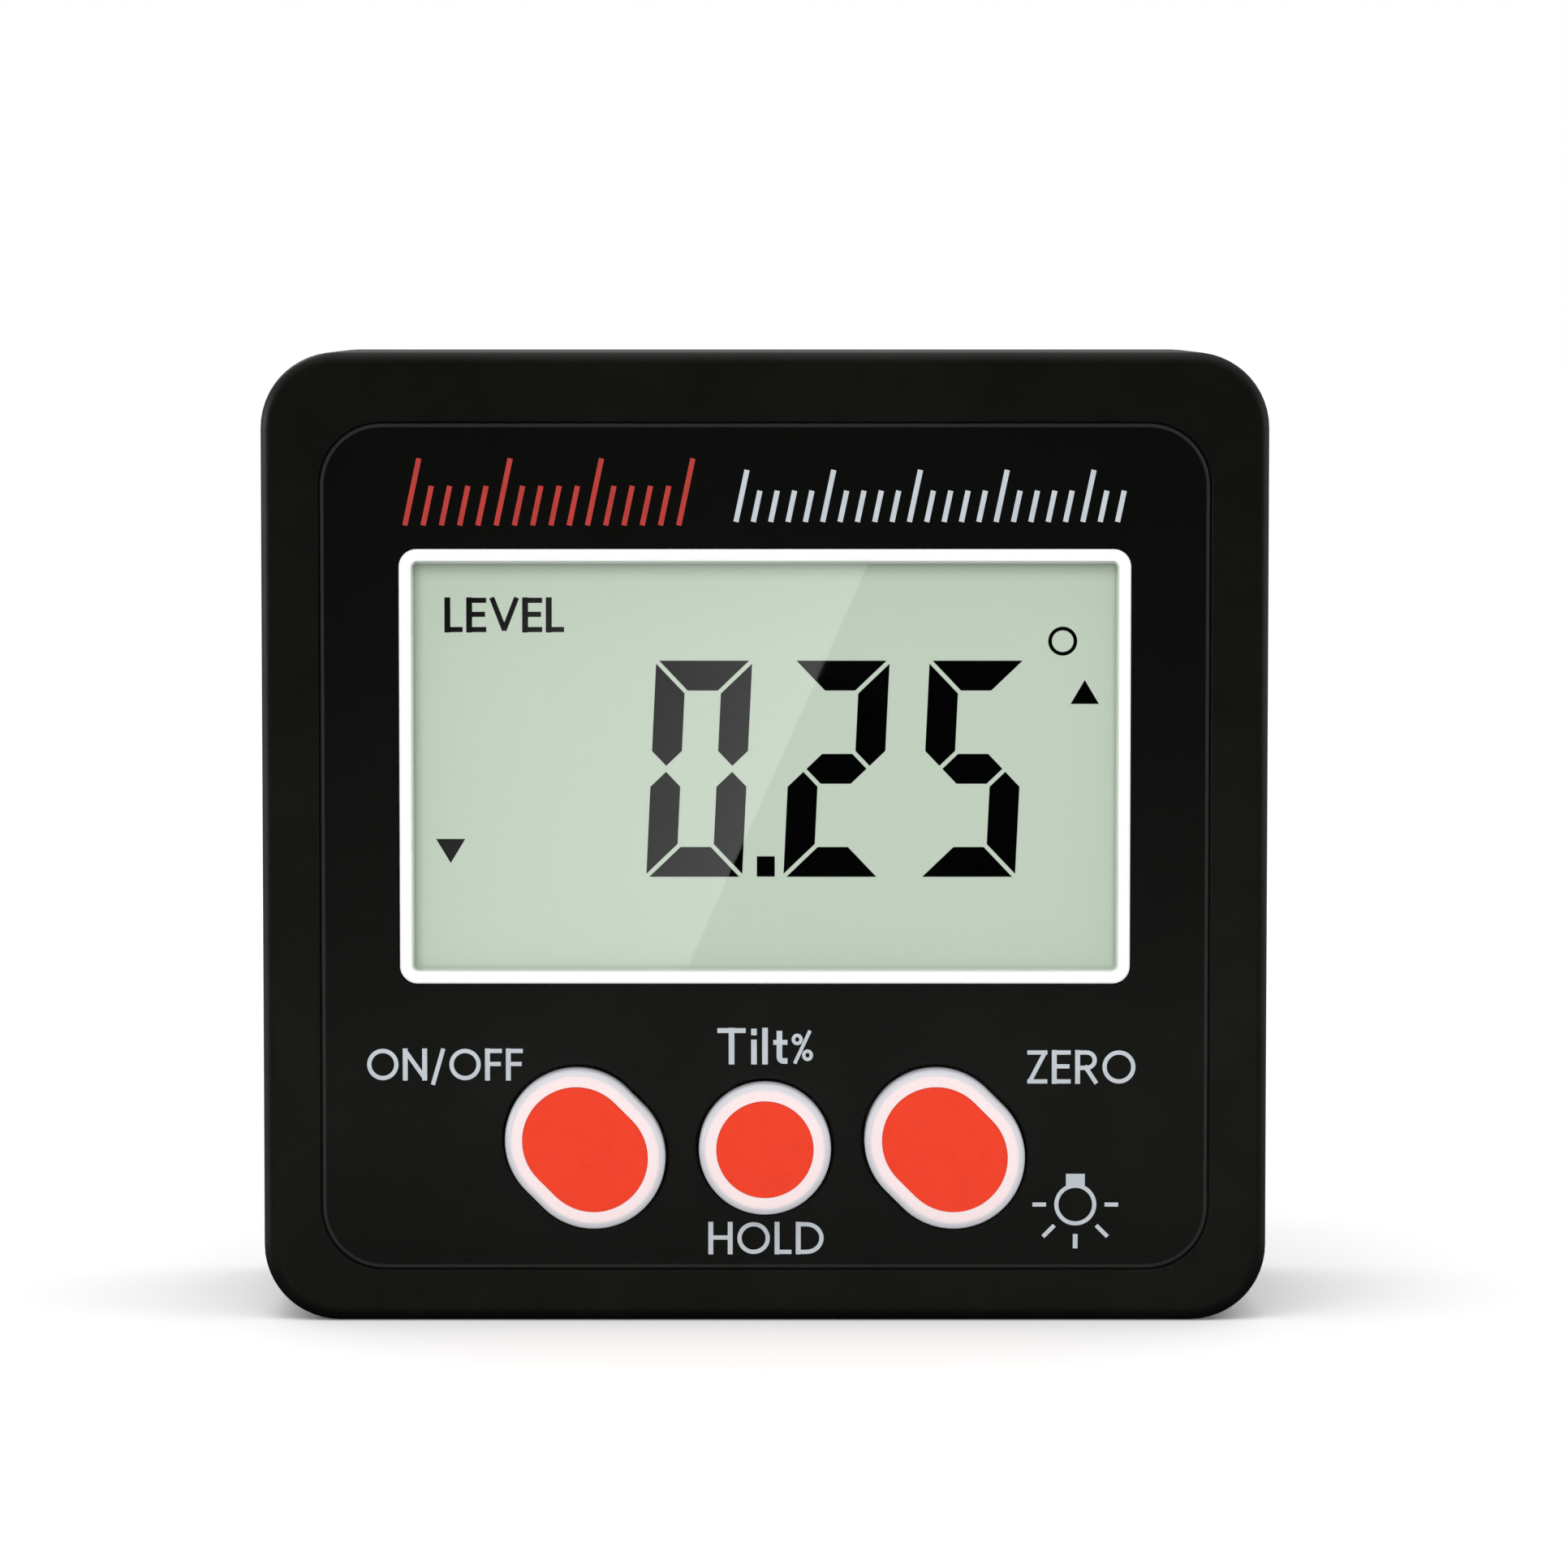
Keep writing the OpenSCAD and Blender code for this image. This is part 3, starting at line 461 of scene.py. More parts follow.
bezel_white = moulded(
    "bezel white", (0.93, 0.94, 0.93), (0.89, 0.9, 0.89), 0.34, grain=5200.0, depth=0.002,
)
bezel_front, bezel_back = bezel_low.y, bezel_high.y
window_w, window_h, window_corner = 40.0 * mm, 23.25 * mm, 0.35 * mm
bar_w = 0.7 * mm
frame_w, frame_h, frame_corner = window_w + 2 * bar_w, window_h + 2 * bar_w, 1.0 * mm
flange_w, flange_h, flange_corner = bezel_high.x - bezel_low.x, bezel_high.z - bezel_low.z, 1.4 * mm
flange_front = -10.2 * mm
bezel_round = 0.16 * mm


def ringed(bm, loops):
    """Joins each outline to the next and the last to the first, with a flat ring or a wall."""
    for near, far in zip(loops, loops[1:] + loops[:1]):
        if abs(near[0].verts[0].co.y - far[0].verts[0].co.y) < touching:
            bmesh.ops.triangle_fill(bm, edges=near + far, use_beauty=True)
        else:
            bmesh.ops.bridge_loops(bm, edges=near + far)


bm = bmesh.new()
loops = [
    outline(bm, (0, window_z), *ring)
    for ring in (
        (window_w, window_h, window_corner, bezel_front),
        (frame_w, frame_h, frame_corner, bezel_front),
        (frame_w, frame_h, frame_corner, flange_front),
        (flange_w, flange_h, flange_corner, flange_front),
        (flange_w, flange_h, flange_corner, bezel_back),
        (window_w, window_h, window_corner, bezel_back),
    )
]
ringed(bm, loops)
bmesh.ops.recalc_face_normals(bm, faces=bm.faces)
soften(bm, loops[0] + loops[1], bezel_round, 4)
keep("bezel_frame", bm, bezel_white, "case", "window_bezel")


# Window lens. A clear acrylic moulding that fills the bezel's window, polished on both faces.
# A step at its back lies against the bezel's flange. It is hidden there, so the plate alone is made.

lens_low, lens_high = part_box("window_lens")
lens_play = 0.1 * mm
lens_corner = 0.3 * mm
lens_edge = 0.08 * mm

lens_clear = bpy.data.materials.new("lens clear")
lens_clear.use_nodes = True
tree = lens_clear.node_tree
shader = tree.nodes["Principled BSDF"]
shader.inputs["Base Color"].default_value = (0.985, 0.995, 0.99, 1.0)
shader.inputs["Transmission Weight"].default_value = 1.0
shader.inputs["IOR"].default_value = 1.42
place = put(tree, "ShaderNodeTexCoord")
smudge = put(tree, "ShaderNodeTexNoise", {"Scale": 90.0, "Detail": 4.0})
smear = put(tree, "ShaderNodeMapRange", {"From Min": 0.45, "From Max": 0.8, "To Min": 0.0, "To Max": 0.03})
tree.links.new(place.outputs["Object"], smudge.inputs["Vector"])
tree.links.new(smudge.outputs["Fac"], smear.inputs["Value"])
tree.links.new(smear.outputs["Result"], shader.inputs["Roughness"])

# Light that goes on to the panel passes straight through
ray = put(tree, "ShaderNodeLightPath")
through = put(tree, "ShaderNodeBsdfTransparent")
mixed = put(tree, "ShaderNodeMixShader")
passing = put(tree, "ShaderNodeMath", operation="MAXIMUM")
tree.links.new(ray.outputs["Is Shadow Ray"], passing.inputs[0])
tree.links.new(ray.outputs["Is Diffuse Ray"], passing.inputs[1])
tree.links.new(passing.outputs[0], mixed.inputs["Fac"])
tree.links.new(shader.outputs["BSDF"], mixed.inputs[1])
tree.links.new(through.outputs["BSDF"], mixed.inputs[2])
tree.links.new(mixed.outputs["Shader"], tree.nodes["Material Output"].inputs["Surface"])

bm = bmesh.new()
lens_rim = outline(bm, (0, window_z), window_w - lens_play, window_h - lens_play, lens_corner, lens_low.y)
lens_t = lens_high.y - lens_low.y
die_cut("lens_plate", bm, lens_t, lens_rim, lens_edge, lens_clear, "window_lens")


# Liquid-crystal panel. Two sheets of glass with the liquid between them, over a grey-green
# reflector with a very fine silvery grain. It is given a weak even glow, painted light that stands in
# for the light falling on it, and painted shade at the window's edges, most of all at the top.

panel = bpy.data.materials.new("display panel")
panel.use_nodes = True
tree = panel.node_tree
shader = tree.nodes["Principled BSDF"]
shader.inputs["Roughness"].default_value = 0.5
shader.inputs["Specular IOR Level"].default_value = 0.1
shader.inputs["Emission Strength"].default_value = 1.0
place = put(tree, "ShaderNodeTexCoord")
sparkle = put(tree, "ShaderNodeTexNoise", {"Scale": 5200.0, "Detail": 2.0})
cloud = put(tree, "ShaderNodeTexNoise", {"Scale": 28.0, "Detail": 2.0})
both = put(tree, "ShaderNodeMath", {1: 0.35}, operation="MULTIPLY_ADD")
green = put(
    tree, "ShaderNodeMix",
    {colour_a: (0.15, 0.176, 0.143, 1.0), colour_b: (0.162, 0.188, 0.156, 1.0)}, data_type="RGBA",
)
# Painted glow: an even emission that stands in for the light falling on the panel
glow = put(
    tree, "ShaderNodeMix",
    {colour_a: (0.387, 0.455, 0.372, 1.0), colour_b: (0.407, 0.474, 0.393, 1.0)}, data_type="RGBA",
)
for texture in (sparkle, cloud):
    tree.links.new(place.outputs["Object"], texture.inputs["Vector"])
tree.links.new(sparkle.outputs["Fac"], both.inputs[0])
tree.links.new(cloud.outputs["Fac"], both.inputs[2])
for tone in (green, glow):
    tree.links.new(both.outputs[0], tone.inputs["Factor"])

# Painted shade near each edge of the window, where the bezel's recess shades the panel: how far in it dims,
# and how much it loses
apart = put(tree, "ShaderNodeSeparateXYZ")
tree.links.new(place.outputs["Object"], apart.inputs["Vector"])
painted_shade_factor = put(tree, "ShaderNodeValue")
painted_shade_factor.outputs[0].default_value = 1.0
for axis, edge, inward, painted_shade_depth in (
    ("Z", window_z + window_h / 2, -1.3 * mm, 0.85),
    ("X", -window_w / 2, 0.75 * mm, 0.6),
    ("X", window_w / 2, -0.4 * mm, 0.5),
    ("Z", window_z - window_h / 2, 0.3 * mm, 0.2),
):
    near = put(tree, "ShaderNodeMapRange", {"From Min": edge + inward, "From Max": edge})
    bent = put(tree, "ShaderNodeMath", {1: 2.0}, operation="POWER")
    left = put(tree, "ShaderNodeMath", {1: -painted_shade_depth, 2: 1.0}, operation="MULTIPLY_ADD")
    product = put(tree, "ShaderNodeMath", operation="MULTIPLY")
    tree.links.new(apart.outputs[axis], near.inputs["Value"])
    tree.links.new(near.outputs["Result"], bent.inputs[0])
    tree.links.new(bent.outputs[0], left.inputs[0])
    tree.links.new(left.outputs[0], product.inputs[0])
    tree.links.new(painted_shade_factor.outputs[0], product.inputs[1])
    painted_shade_factor = product
# Colour and glow are mixed towards this dark tone near the edges: painted shade
painted_shade_colour = (0.02, 0.023, 0.02, 1.0)
for tone, socket in ((green, "Base Color"), (glow, "Emission Color")):
    shaded = put(tree, "ShaderNodeMix", {colour_a: painted_shade_colour}, data_type="RGBA")
    tree.links.new(painted_shade_factor.outputs[0], shaded.inputs["Factor"])
    tree.links.new(tone.outputs[colour_out], shaded.inputs[colour_b])
    tree.links.new(shaded.outputs[colour_out], shader.inputs[socket])
finish("lcd_panel", panel)


# Display segments. The driven parts of the panel turn nearly black: three slanted digits with
# their point, a word, two arrows and a ring. Each is a film of liquid under the front glass.

panel_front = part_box("lcd_panel")[0].y
driven = moulded(
    "driven segments", (0.0008, 0.0008, 0.001), (0.0016, 0.0016, 0.0019), 0.5,
    grain=5200.0, depth=0.001, spread=300.0,
)
sheen(driven, 0.0)
digit_w, digit_h = 5.7 * mm, 12.56 * mm
digit_low = 25.05 * mm
digit_lean = math.tan(math.radians(2.7))
digit_places = {"0": -3.74 * mm, "2": 4.07 * mm, "5": 11.8 * mm}
segment_w = 1.94 * mm
segment_gap = 0.12 * mm
segment_t = 0.02 * mm
w, h, t = digit_w / 2, digit_h, segment_w
middle = h / 2
bars = {
    "top": [(-w, h), (w, h), (w - t, h - t), (-w + t, h - t)],
    "bottom": [(-w, 0), (w, 0), (w - t, t), (-w + t, t)],
    "upper_right": [
        (w, h), (w, middle + t / 2), (w - t / 2, middle), (w - t, middle + t / 2), (w - t, h - t),
    ],
    "lower_right": [
        (w, 0), (w, middle - t / 2), (w - t / 2, middle), (w - t, middle - t / 2), (w - t, t),
    ],
    "middle": [
        (-w + t / 2, middle), (-w + t, middle + t / 2), (w - t, middle + t / 2),
        (w - t / 2, middle), (w - t, middle - t / 2), (-w + t, middle - t / 2),
    ],
}
for side in ("upper", "lower"):
    bars[side + "_left"] = [(-x, z) for x, z in bars[side + "_right"]]
digits = {
    "0": ("top", "upper_left", "upper_right", "lower_left", "lower_right", "bottom"),
    "2": ("top", "upper_right", "middle", "lower_left", "bottom"),
    "5": ("top", "upper_left", "middle", "lower_right", "bottom"),
}
point = ((-0.46, 25.18), (0.56, 25.18), (0.56, 26.34), (-0.46, 26.34))
up_arrow = ((17.38, 35.03), (18.99, 35.03), (18.18, 36.39))
down_arrow = ((-18.72, 27.33), (-17.06, 27.33), (-17.89, 25.96))
ring_x, ring_z, ring_r, ring_line = 16.92 * mm, 38.6 * mm, 0.72 * mm, 0.245 * mm


def flat_patch(bm, points, shrink=0.0):
    """A thin closed patch of the given outline on the panel, drawn in by a margin."""
    face = bm.faces.new([bm.verts.new((x, panel_front, z)) for x, z in points])
    face.normal_update()
    if shrink:
        rim = bmesh.ops.inset_region(
            bm, faces=[face], thickness=shrink, use_boundary=True, use_even_offset=True,
        )["faces"]
        bmesh.ops.delete(bm, geom=rim, context="FACES")
    thicken(bm, [face], -segment_t)


bm = bmesh.new()
for figure, x in digit_places.items():
    for bar in digits[figure]:
        leaned = [(x + px + digit_lean * (pz - middle), digit_low + pz) for px, pz in bars[bar]]
        flat_patch(bm, leaned, segment_gap)
for patch in (point, up_arrow, down_arrow):
    flat_patch(bm, [(px * mm, pz * mm) for px, pz in patch])
keep("driven_segments", bm, driven, "case", smooth=False)
lettered(
    "word_level", "LEVEL", -18.21, -11.41, 39.09, 41.09, 0.34, 0.31, panel_front, driven,
)
degree_ring = [arc(ring_x, ring_z, ring_r, 0, 360, 40)]
stroked("degree_ring", degree_ring, ring_line, panel_front, ink_t, driven)


# Display frame, light guide, lamps and connector. Behind the glass a white frame holds a frosted
# acrylic guide, three small lamps and the striped rubber strip that joins the glass to the board.

finish("lcd_frame", moulded("frame plastic", (0.8, 0.8, 0.76), (0.7, 0.7, 0.66), 0.5))
finish("light_guide", moulded("frosted guide", (0.82, 0.86, 0.8), (0.75, 0.8, 0.74), 0.6, grain=9000.0))
finish("backlight_leds", moulded("lamp resin", (0.86, 0.74, 0.35), (0.8, 0.68, 0.3), 0.3))
finish("lcd_connector", moulded("connector rubber", (0.16, 0.2, 0.24), (0.12, 0.15, 0.18), 0.75))


# Buttons. Each is a pale pearly cap with a rounded rim, and a red face bonded into it.
# The two outer ones are ovals that lean; a flange behind the wall keeps each in its hole.

# The rim tone is painted shade: the cap's sloping rim is coloured a darker, cooler grey where it turns from
# the light
pearl = moulded(
    "pearl cap", (0.9, 0.74, 0.745), (0.92, 0.77, 0.775), 0.36,
    grain=4200.0, depth=0.0015, spread=260.0, rim=(0.65, 0.65, 0.69),
)
red_face = moulded(
    "red key face", (0.87, 0.039, 0.0045), (0.82, 0.033, 0.0035), 0.42,
    grain=3600.0, depth=0.004, spread=900.0,
)
sheen(red_face, 0.25)
cap_ring_w = 0.98 * mm
cap_round = 0.5 * mm
seat_depth, seat_slope = 0.12 * mm, 0.03 * mm
face_round = 0.05 * mm


def oval_block(x, end_r, run, back, front, edge, segments):
    """A leaning oval block between two depths, with the edge of its front rounded over."""
    bm = bmesh.new()
    outline(bm, (x, button_z), 2 * (end_r + run), 2 * end_r, end_r, back, button_tilt, 20)
    base = bmesh.ops.edgeloop_fill(bm, edges=bm.edges)["faces"]
    top = thicken(bm, base, front - back)[0]
    bmesh.ops.recalc_face_normals(bm, faces=bm.faces)
    soften(bm, top.edges, edge, segments)
    return bm


for key, (x, end_r, run) in buttons.items():
    cap_low, cap_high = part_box(key + "_button")
    bm = oval_block(x, end_r, run, cap_high.y, cap_low.y, cap_round, 8)
    top = min(bm.faces, key=lambda f: f.calc_center_median().y)
    bmesh.ops.inset_region(bm, faces=[top], thickness=cap_ring_w - cap_round, use_even_offset=True)
    bmesh.ops.inset_region(bm, faces=[top], thickness=seat_slope, depth=-seat_depth, use_even_offset=True)
    keep(key + "_cap", bm, pearl, key + "_button_body", key + "_button")

    inlay_low, inlay_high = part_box(key + "_button_inlay")
    bm = oval_block(x, end_r - cap_ring_w, run, inlay_high.y, inlay_low.y, face_round, 3)
    keep(key + "_face", bm, red_face, key + "_button_body", key + "_button_inlay")


# Circuit board and what is soldered to it. Green solder mask on glass cloth, with the controller,
# the tilt sensor, the capacitors and three push switches with their plungers.

solder_mask = moulded(
    "solder mask", (0.012, 0.09, 0.036), (0.02, 0.13, 0.055), 0.32, grain=2600.0, depth=0.006, spread=500.0,
)
finish("circuit_board", solder_mask)
chip_black = moulded("chip resin", (0.016, 0.016, 0.018), (0.03, 0.03, 0.032), 0.6)
finish("controller_chip", chip_black)
finish("tilt_sensor", chip_black)
finish("board_capacitors", moulded("capacitor ceramic", (0.42, 0.23, 0.1), (0.5, 0.3, 0.15), 0.5))
switch_black = moulded("switch housing", (0.02, 0.02, 0.022), (0.035, 0.035, 0.038), 0.5)
plunger_tan = moulded("switch plunger", (0.55, 0.43, 0.23), (0.48, 0.37, 0.19), 0.5)
for key in buttons:
    finish(key + "_switch", switch_black)
    finish(key + "_plunger", plunger_tan)


# Rear cover and battery door. The same grained black ABS as the front case. The cover is drawn on
# by screws in its corners, and the door turns on its round lower edge.

finish("rear_cover", case_plastic)
door_plastic = moulded(
    "door plastic", (0.0037, 0.0042, 0.0034), (0.0064, 0.007, 0.0059), 0.48, spread=110.0, **abs_surface,
)
sheen(door_plastic, 0.36, abs_tint)
finish("battery_door", door_plastic)


# Screws, magnets, crystal can and battery contacts. Plated steel: zinc on the screws, nickel on the
# rest, with fine lines from rolling and turning.

roll_lines, given, result = new_group(
    "roll lines",
    [("Scale", "NodeSocketFloat", 2400.0), ("Roughness", "NodeSocketFloat", 0.25)],
    [("Roughness", "NodeSocketFloat"), ("Height", "NodeSocketFloat")],
)
place = put(roll_lines, "ShaderNodeTexCoord")
stretch = put(roll_lines, "ShaderNodeMapping", {"Scale": (0.04, 1.0, 1.0)})
streaks = put(roll_lines, "ShaderNodeTexNoise", {"Detail": 4.0, "Roughness": 0.7})
dulling = put(roll_lines, "ShaderNodeMath", {1: 0.16}, operation="MULTIPLY_ADD")
roll_lines.links.new(place.outputs["Object"], stretch.inputs["Vector"])
roll_lines.links.new(stretch.outputs["Vector"], streaks.inputs["Vector"])
roll_lines.links.new(given.outputs["Scale"], streaks.inputs["Scale"])
roll_lines.links.new(streaks.outputs["Fac"], dulling.inputs[0])
roll_lines.links.new(given.outputs["Roughness"], dulling.inputs[2])
roll_lines.links.new(dulling.outputs[0], result.inputs["Roughness"])
roll_lines.links.new(streaks.outputs["Fac"], result.inputs["Height"])


def plated(name, colour, dulled, roughness):
    """Plated steel with rolling lines, dulled in patches, and with edges that are not knife sharp."""
    material = bpy.data.materials.new(name)
    material.use_nodes = True
    tree = material.node_tree
    shader = tree.nodes["Principled BSDF"]
    shader.inputs["Metallic"].default_value = 1.0
    hands = put(
        tree, "ShaderNodeGroup",
        {"Colour": (*colour, 1.0), "Rubbed": (*dulled, 1.0), "Spread": 400.0},
        node_tree=handling,
    )
    lines = put(tree, "ShaderNodeGroup", {"Roughness": roughness}, node_tree=roll_lines)
    rounding = put(tree, "ShaderNodeBevel", {"Radius": 0.05 * mm})
    bump = put(tree, "ShaderNodeBump", {"Strength": 0.4, "Distance": 0.002 * mm})
    tree.links.new(hands.outputs["Colour"], shader.inputs["Base Color"])
    tree.links.new(lines.outputs["Roughness"], shader.inputs["Roughness"])
    tree.links.new(lines.outputs["Height"], bump.inputs["Height"])
    tree.links.new(rounding.outputs["Normal"], bump.inputs["Normal"])
    tree.links.new(bump.outputs["Normal"], shader.inputs["Normal"])
    return material


zinc = plated("zinc plate", (0.42, 0.43, 0.44), (0.3, 0.31, 0.32), 0.28)
nickel = plated("nickel plate", (0.62, 0.61, 0.58), (0.5, 0.49, 0.46), 0.22)
for node in ("case_screws", "board_screws"):
    finish(node, zinc)
for node in ("base_magnets", "clock_crystal", "jumper_contact", "positive_contact", "negative_contact"):
    finish(node, nickel)


# Cells. Two plain dry cells: a nickel-plated steel can with a pressed nub, in a shrunk plastic jacket
# that curls over both ends. They lie in the bay head to tail, held by the springs.

jacket_grey, jacket_rubbed = (0.05, 0.057, 0.068), (0.07, 0.078, 0.09)
band_pale = (0.46, 0.47, 0.48)
mark_r, mark_w, mark_t = 0.75 * mm, 0.34 * mm, 0.15 * mm

# In millimetres: the nub's length, and the ends of the pale band and the signs from a cell's ends
nub_l = 0.8
band_from, band_to = 4.5, 9.0
plus_from_shoulder, minus_from_base = 6.75, 4.0
mark_sunk = 0.03


def shrink_wrap(name, near, far):
    """Printed jacket film: dark, with one pale band round the end that has the nub."""
    material = moulded(name, jacket_grey, jacket_rubbed, 0.3, grain=2600.0, depth=0.003)
    tree = material.node_tree
    shader = tree.nodes["Principled BSDF"]
    shader.inputs["Coat Weight"].default_value = 0.4
    plain = shader.inputs["Base Color"].links[0].from_socket
    place = put(tree, "ShaderNodeTexCoord")
    apart = put(tree, "ShaderNodeSeparateXYZ")
    inside = put(
        tree, "ShaderNodeMath", {1: (near + far) / 2, 2: abs(far - near) / 2}, operation="COMPARE",
    )
    banded = put(tree, "ShaderNodeMix", {colour_b: (*band_pale, 1.0)}, data_type="RGBA")
    tree.links.new(place.outputs["Object"], apart.inputs["Vector"])
    tree.links.new(apart.outputs["X"], inside.inputs[0])
    tree.links.new(inside.outputs[0], banded.inputs["Factor"])
    tree.links.new(plain, banded.inputs[colour_a])
    tree.links.new(banded.outputs[colour_out], shader.inputs["Base Color"])
    return material


def turned(points, centre, side):
    """Turns a profile, in millimetres along and out from a cell's axis, into a closed round body."""
    bm = bmesh.new()
    verts = [
        bm.verts.new((centre.x + side * along * mm, centre.y, centre.z + out * mm)) for along, out in points
    ]
    profile = [bm.edges.new(pair) for pair in zip(verts, verts[1:])]
    bmesh.ops.spin(
        bm, geom=verts + profile, cent=centre, axis=(1, 0, 0), angle=math.radians(360), steps=56,
        use_merge=True,
    )
    bmesh.ops.remove_doubles(bm, verts=bm.verts, dist=touching)
    return bm


for name, side in (("upper", 1), ("lower", -1)):
    cell_low, cell_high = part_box(name + "_battery")
    cell_r = (cell_high.z - cell_low.z) / 2 / mm
    half = (cell_high.x - cell_low.x) / 2 / mm
    centre = (cell_low + cell_high) / 2
    shoulder = half - nub_l
    band_ends = [centre.x + side * (shoulder - back) * mm for back in (band_from, band_to)]
    wrap = shrink_wrap(name + " cell jacket", *band_ends)
    jacket = [
        (shoulder - 0.12, cell_r - 1.1), (shoulder - 0.02, cell_r - 1.05), (shoulder, cell_r - 0.95),
        (shoulder, cell_r - 0.45), (shoulder - 0.13, cell_r - 0.13), (shoulder - 0.45, cell_r),
        (-half + 0.45, cell_r), (-half + 0.13, cell_r - 0.13), (-half, cell_r - 0.45),
        (-half, cell_r - 0.95), (-half + 0.02, cell_r - 1.05), (-half + 0.12, cell_r - 1.1),
        (-half + 0.62, cell_r - 0.16), (shoulder - 0.62, cell_r - 0.16), (shoulder - 0.12, cell_r - 1.1),
    ]
    can = [
        (half, 0), (half, 1.62), (half - 0.08, 1.82), (half - 0.28, 1.9), (shoulder + 0.12, 1.9),
        (shoulder - 0.06, 2.1), (shoulder - 0.1, cell_r - 0.7), (shoulder - 0.5, cell_r - 0.2),
        (-half + 0.5, cell_r - 0.2), (-half + 0.1, cell_r - 0.7), (-half + 0.06, 2.6),
        (-half + 0.02, 2.4), (-half + 0.02, 0),
    ]
    bm = turned(jacket, centre, side)
    keep(name + "_cell_jacket", bm, wrap, "case", name + "_battery")
    bm = turned(can, centre, side)
    keep(name + "_cell_can", bm, nickel, "case")

    mark_y = centre.y + (cell_r - mark_sunk) * mm
    for sign, along, ink in (
        ("plus", shoulder - plus_from_shoulder, driven),
        ("minus", -half + minus_from_base, grey_ink),
    ):
        x = centre.x + side * along * mm
        strokes = [[(x, centre.z - mark_r), (x, centre.z + mark_r)]]
        if sign == "plus":
            strokes.append([(x - mark_r, centre.z), (x + mark_r, centre.z)])
        stroked(name + "_cell_" + sign, strokes, mark_w, mark_y, mark_t, ink)


# Leads. Two short copper wires in coloured plastic insulation, red for plus and black for minus.
# Each is soldered to the tab of a contact at one end and to the board at the other.

finish("positive_lead", moulded("red insulation", (0.42, 0.02, 0.013), (0.34, 0.015, 0.01), 0.45))
finish("negative_lead", moulded("black insulation", (0.012, 0.012, 0.013), (0.02, 0.02, 0.021), 0.45))


# Studio. A pale floor that runs out of sight, a large soft light above and in front, a white tent that
# is open at the front for the reflections, and a card whose slanted edge is mirrored in the lens.

floor_size = 4.0
floor_drop = 0.02 * mm
pale = bpy.data.materials.new("pale floor")
pale.use_nodes = True
for socket, value in (
    ("Base Color", (0.985, 0.985, 0.985, 1.0)),
    ("Roughness", 0.8),
    ("Specular IOR Level", 0.0),
    ("Emission Color", (1.0, 1.0, 1.0, 1.0)),
    ("Emission Strength", 0.06),
):
    pale.node_tree.nodes["Principled BSDF"].inputs[socket].default_value = value


def hang(name, bm, material, unseen_by):
    """Puts a sheet into the studio that some kinds of ray pass by."""
    mesh = bpy.data.meshes.new(name)
    bm.to_mesh(mesh)
    bm.free()
    mesh.materials.append(material)
    sheet = bpy.data.objects.new(name, mesh)
    bpy.context.scene.collection.objects.link(sheet)
    for way in unseen_by:
        setattr(sheet, "visible_" + way, False)


bm = bmesh.new()
bmesh.ops.create_grid(bm, x_segments=1, y_segments=1, size=floor_size)
bmesh.ops.translate(bm, vec=(0, 0, -floor_drop), verts=bm.verts)
hang("floor", bm, pale, ("glossy", "transmission"))

# Lights: place, aim, width and height in metres, power in watts, and the kind of ray that misses them
face_middle = (0, -0.012, 0.0275)
case_middle = (0, 0, 0.0275)
for name, place, aim, width, height, power, unseen in (
    ("top_front_softbox", (-0.1, -0.4, 0.75), face_middle, 0.4, 0.4, 1.2, "glossy"),
    ("overhead_softbox", (0, 0, 0.6), case_middle, 0.5, 0.5, 0.35, "diffuse"),
    ("left_softbox", (-0.5, -0.05, 0.09), case_middle, 0.34, 0.17, 0.72, "diffuse"),
    ("right_softbox", (0.5, -0.05, 0.09), case_middle, 0.34, 0.17, 0.27, "diffuse"),
    ("rear_softbox", (-0.3, 0.5, 0.5), case_middle, 0.25, 0.25, 0.6, "diffuse"),
    ("low_strip", (0, -0.075, 0.005), face_middle, 0.13, 0.01, 0.0052, "diffuse"),
):
    source = bpy.data.lights.new(name, "AREA")
    source.shape = "RECTANGLE"
    source.size = width
    source.size_y = height
    source.energy = power
    light = bpy.data.objects.new(name, source)
    bpy.context.scene.collection.objects.link(light)
    light.location = place
    light.rotation_euler = (Vector(aim) - Vector(place)).to_track_quat("-Z", "Y").to_euler()
    light.visible_camera = False
    setattr(light, "visible_" + unseen, False)


def glowing(name, way, dim_at, bright_at, dim, bright):
    """A cloth or card that only gives light, from dim to bright along one direction."""
    material = bpy.data.materials.new(name)
    material.use_nodes = True
    tree = material.node_tree
    tree.nodes.remove(tree.nodes["Principled BSDF"])
    place = put(tree, "ShaderNodeTexCoord")
    along = put(tree, "ShaderNodeVectorMath", {1: way}, operation="DOT_PRODUCT")
    fading = put(
        tree, "ShaderNodeMapRange",
        {"From Min": dim_at, "From Max": bright_at, "To Min": dim, "To Max": bright},
    )
    glow = put(tree, "ShaderNodeEmission")
    tree.links.new(place.outputs["Object"], along.inputs[0])
    tree.links.new(along.outputs["Value"], fading.inputs["Value"])
    tree.links.new(fading.outputs["Result"], glow.inputs["Strength"])
    tree.links.new(glow.outputs["Emission"], tree.nodes["Material Output"].inputs["Surface"])
    return material


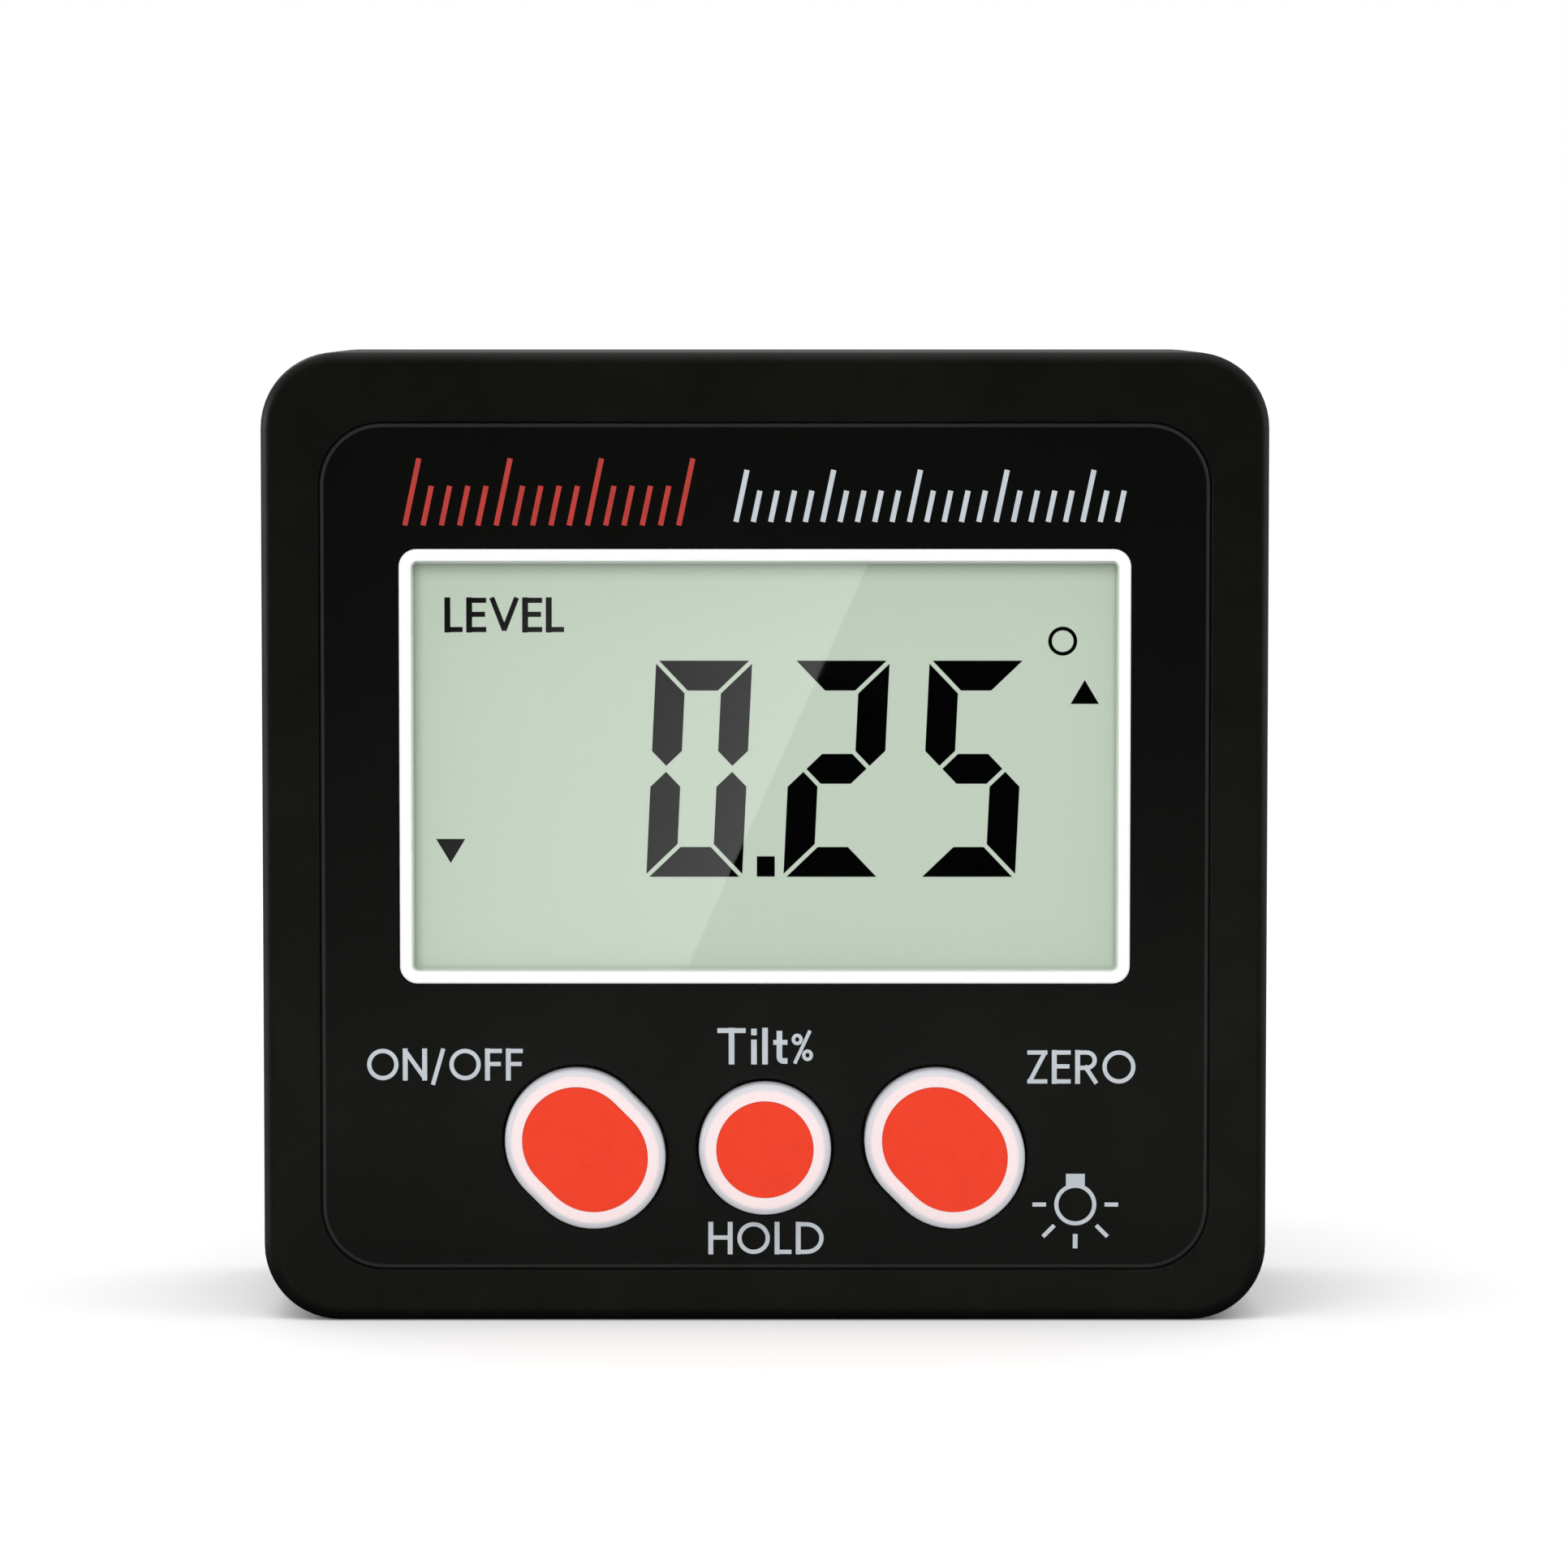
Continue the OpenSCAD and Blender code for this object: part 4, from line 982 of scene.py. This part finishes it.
card_y = -0.212
card_corners = ((-31, 1.2), (-6.7, 1.2), (9.2, 36.8), (-31, 36.8))
card = glowing("mirrored card", (1.0, 0.0, -0.447), -0.04, -0.0072, 0.1, 1.15)
bm = bmesh.new()
bm.faces.new([bm.verts.new((x * mm, card_y, z * mm)) for x, z in card_corners])
hang("mirrored_card", bm, card, ("camera", "diffuse", "shadow"))

tent_r, tent_lintel, tent_spread = 1.5, 1.0, 1.7
sheet_r, sheet_lift = 1.2, 0.03 * mm
only_mirrored = ("camera", "diffuse", "transmission", "shadow", "volume_scatter")
towards_back = (0.0, 1.0, 0.0)
bm = bmesh.new()
bmesh.ops.create_uvsphere(bm, u_segments=36, v_segments=18, radius=tent_r)
left_open = []
for face in bm.faces:
    x, y, z = face.calc_center_median()
    if z < 0 or z < tent_lintel and abs(x) < -tent_spread * y:
        left_open.append(face)
bmesh.ops.delete(bm, geom=left_open, context="FACES")
hang("white_tent", bm, glowing("white_tent", towards_back, -4.0, -3.0, 0.0, 0.5), only_mirrored)

bm = bmesh.new()
bmesh.ops.create_circle(bm, cap_ends=True, radius=sheet_r, segments=48)
bmesh.ops.translate(bm, vec=(0, 0, sheet_lift), verts=bm.verts)
hang("white_sheet", bm, glowing("white_sheet", towards_back, -0.012, 0.05, 0.0, 0.5), only_mirrored)

world = bpy.data.worlds.new("studio")
bpy.context.scene.world = world
world.use_nodes = True
world.node_tree.nodes["Background"].inputs["Color"].default_value = (1, 1, 1, 1)
world.node_tree.nodes["Background"].inputs["Strength"].default_value = 1.0
world.cycles_visibility.glossy = False
world.cycles_visibility.transmission = False

# The camera looks down a little at the middle of the face; its shifts are in pixels of the frame
frame_px = 1932
shift_right, shift_up = 23.5, 67.5
camera_pitch = math.radians(4.26)
camera_reach = 0.409
camera_data = bpy.data.cameras.new("camera")
camera_data.sensor_width = 36.0
camera_data.lens = 165.8
camera_data.shift_x = shift_right / frame_px
camera_data.shift_y = shift_up / frame_px
camera_data.clip_start = 0.01
camera = bpy.data.objects.new("camera", camera_data)
bpy.context.scene.collection.objects.link(camera)
back_off = Vector((0, -math.cos(camera_pitch), math.sin(camera_pitch)))
camera.location = Vector(face_middle) + camera_reach * back_off
camera.rotation_euler = (math.radians(90) - camera_pitch, 0, 0)
bpy.context.scene.camera = camera
bpy.context.scene.view_settings.view_transform = "Standard"
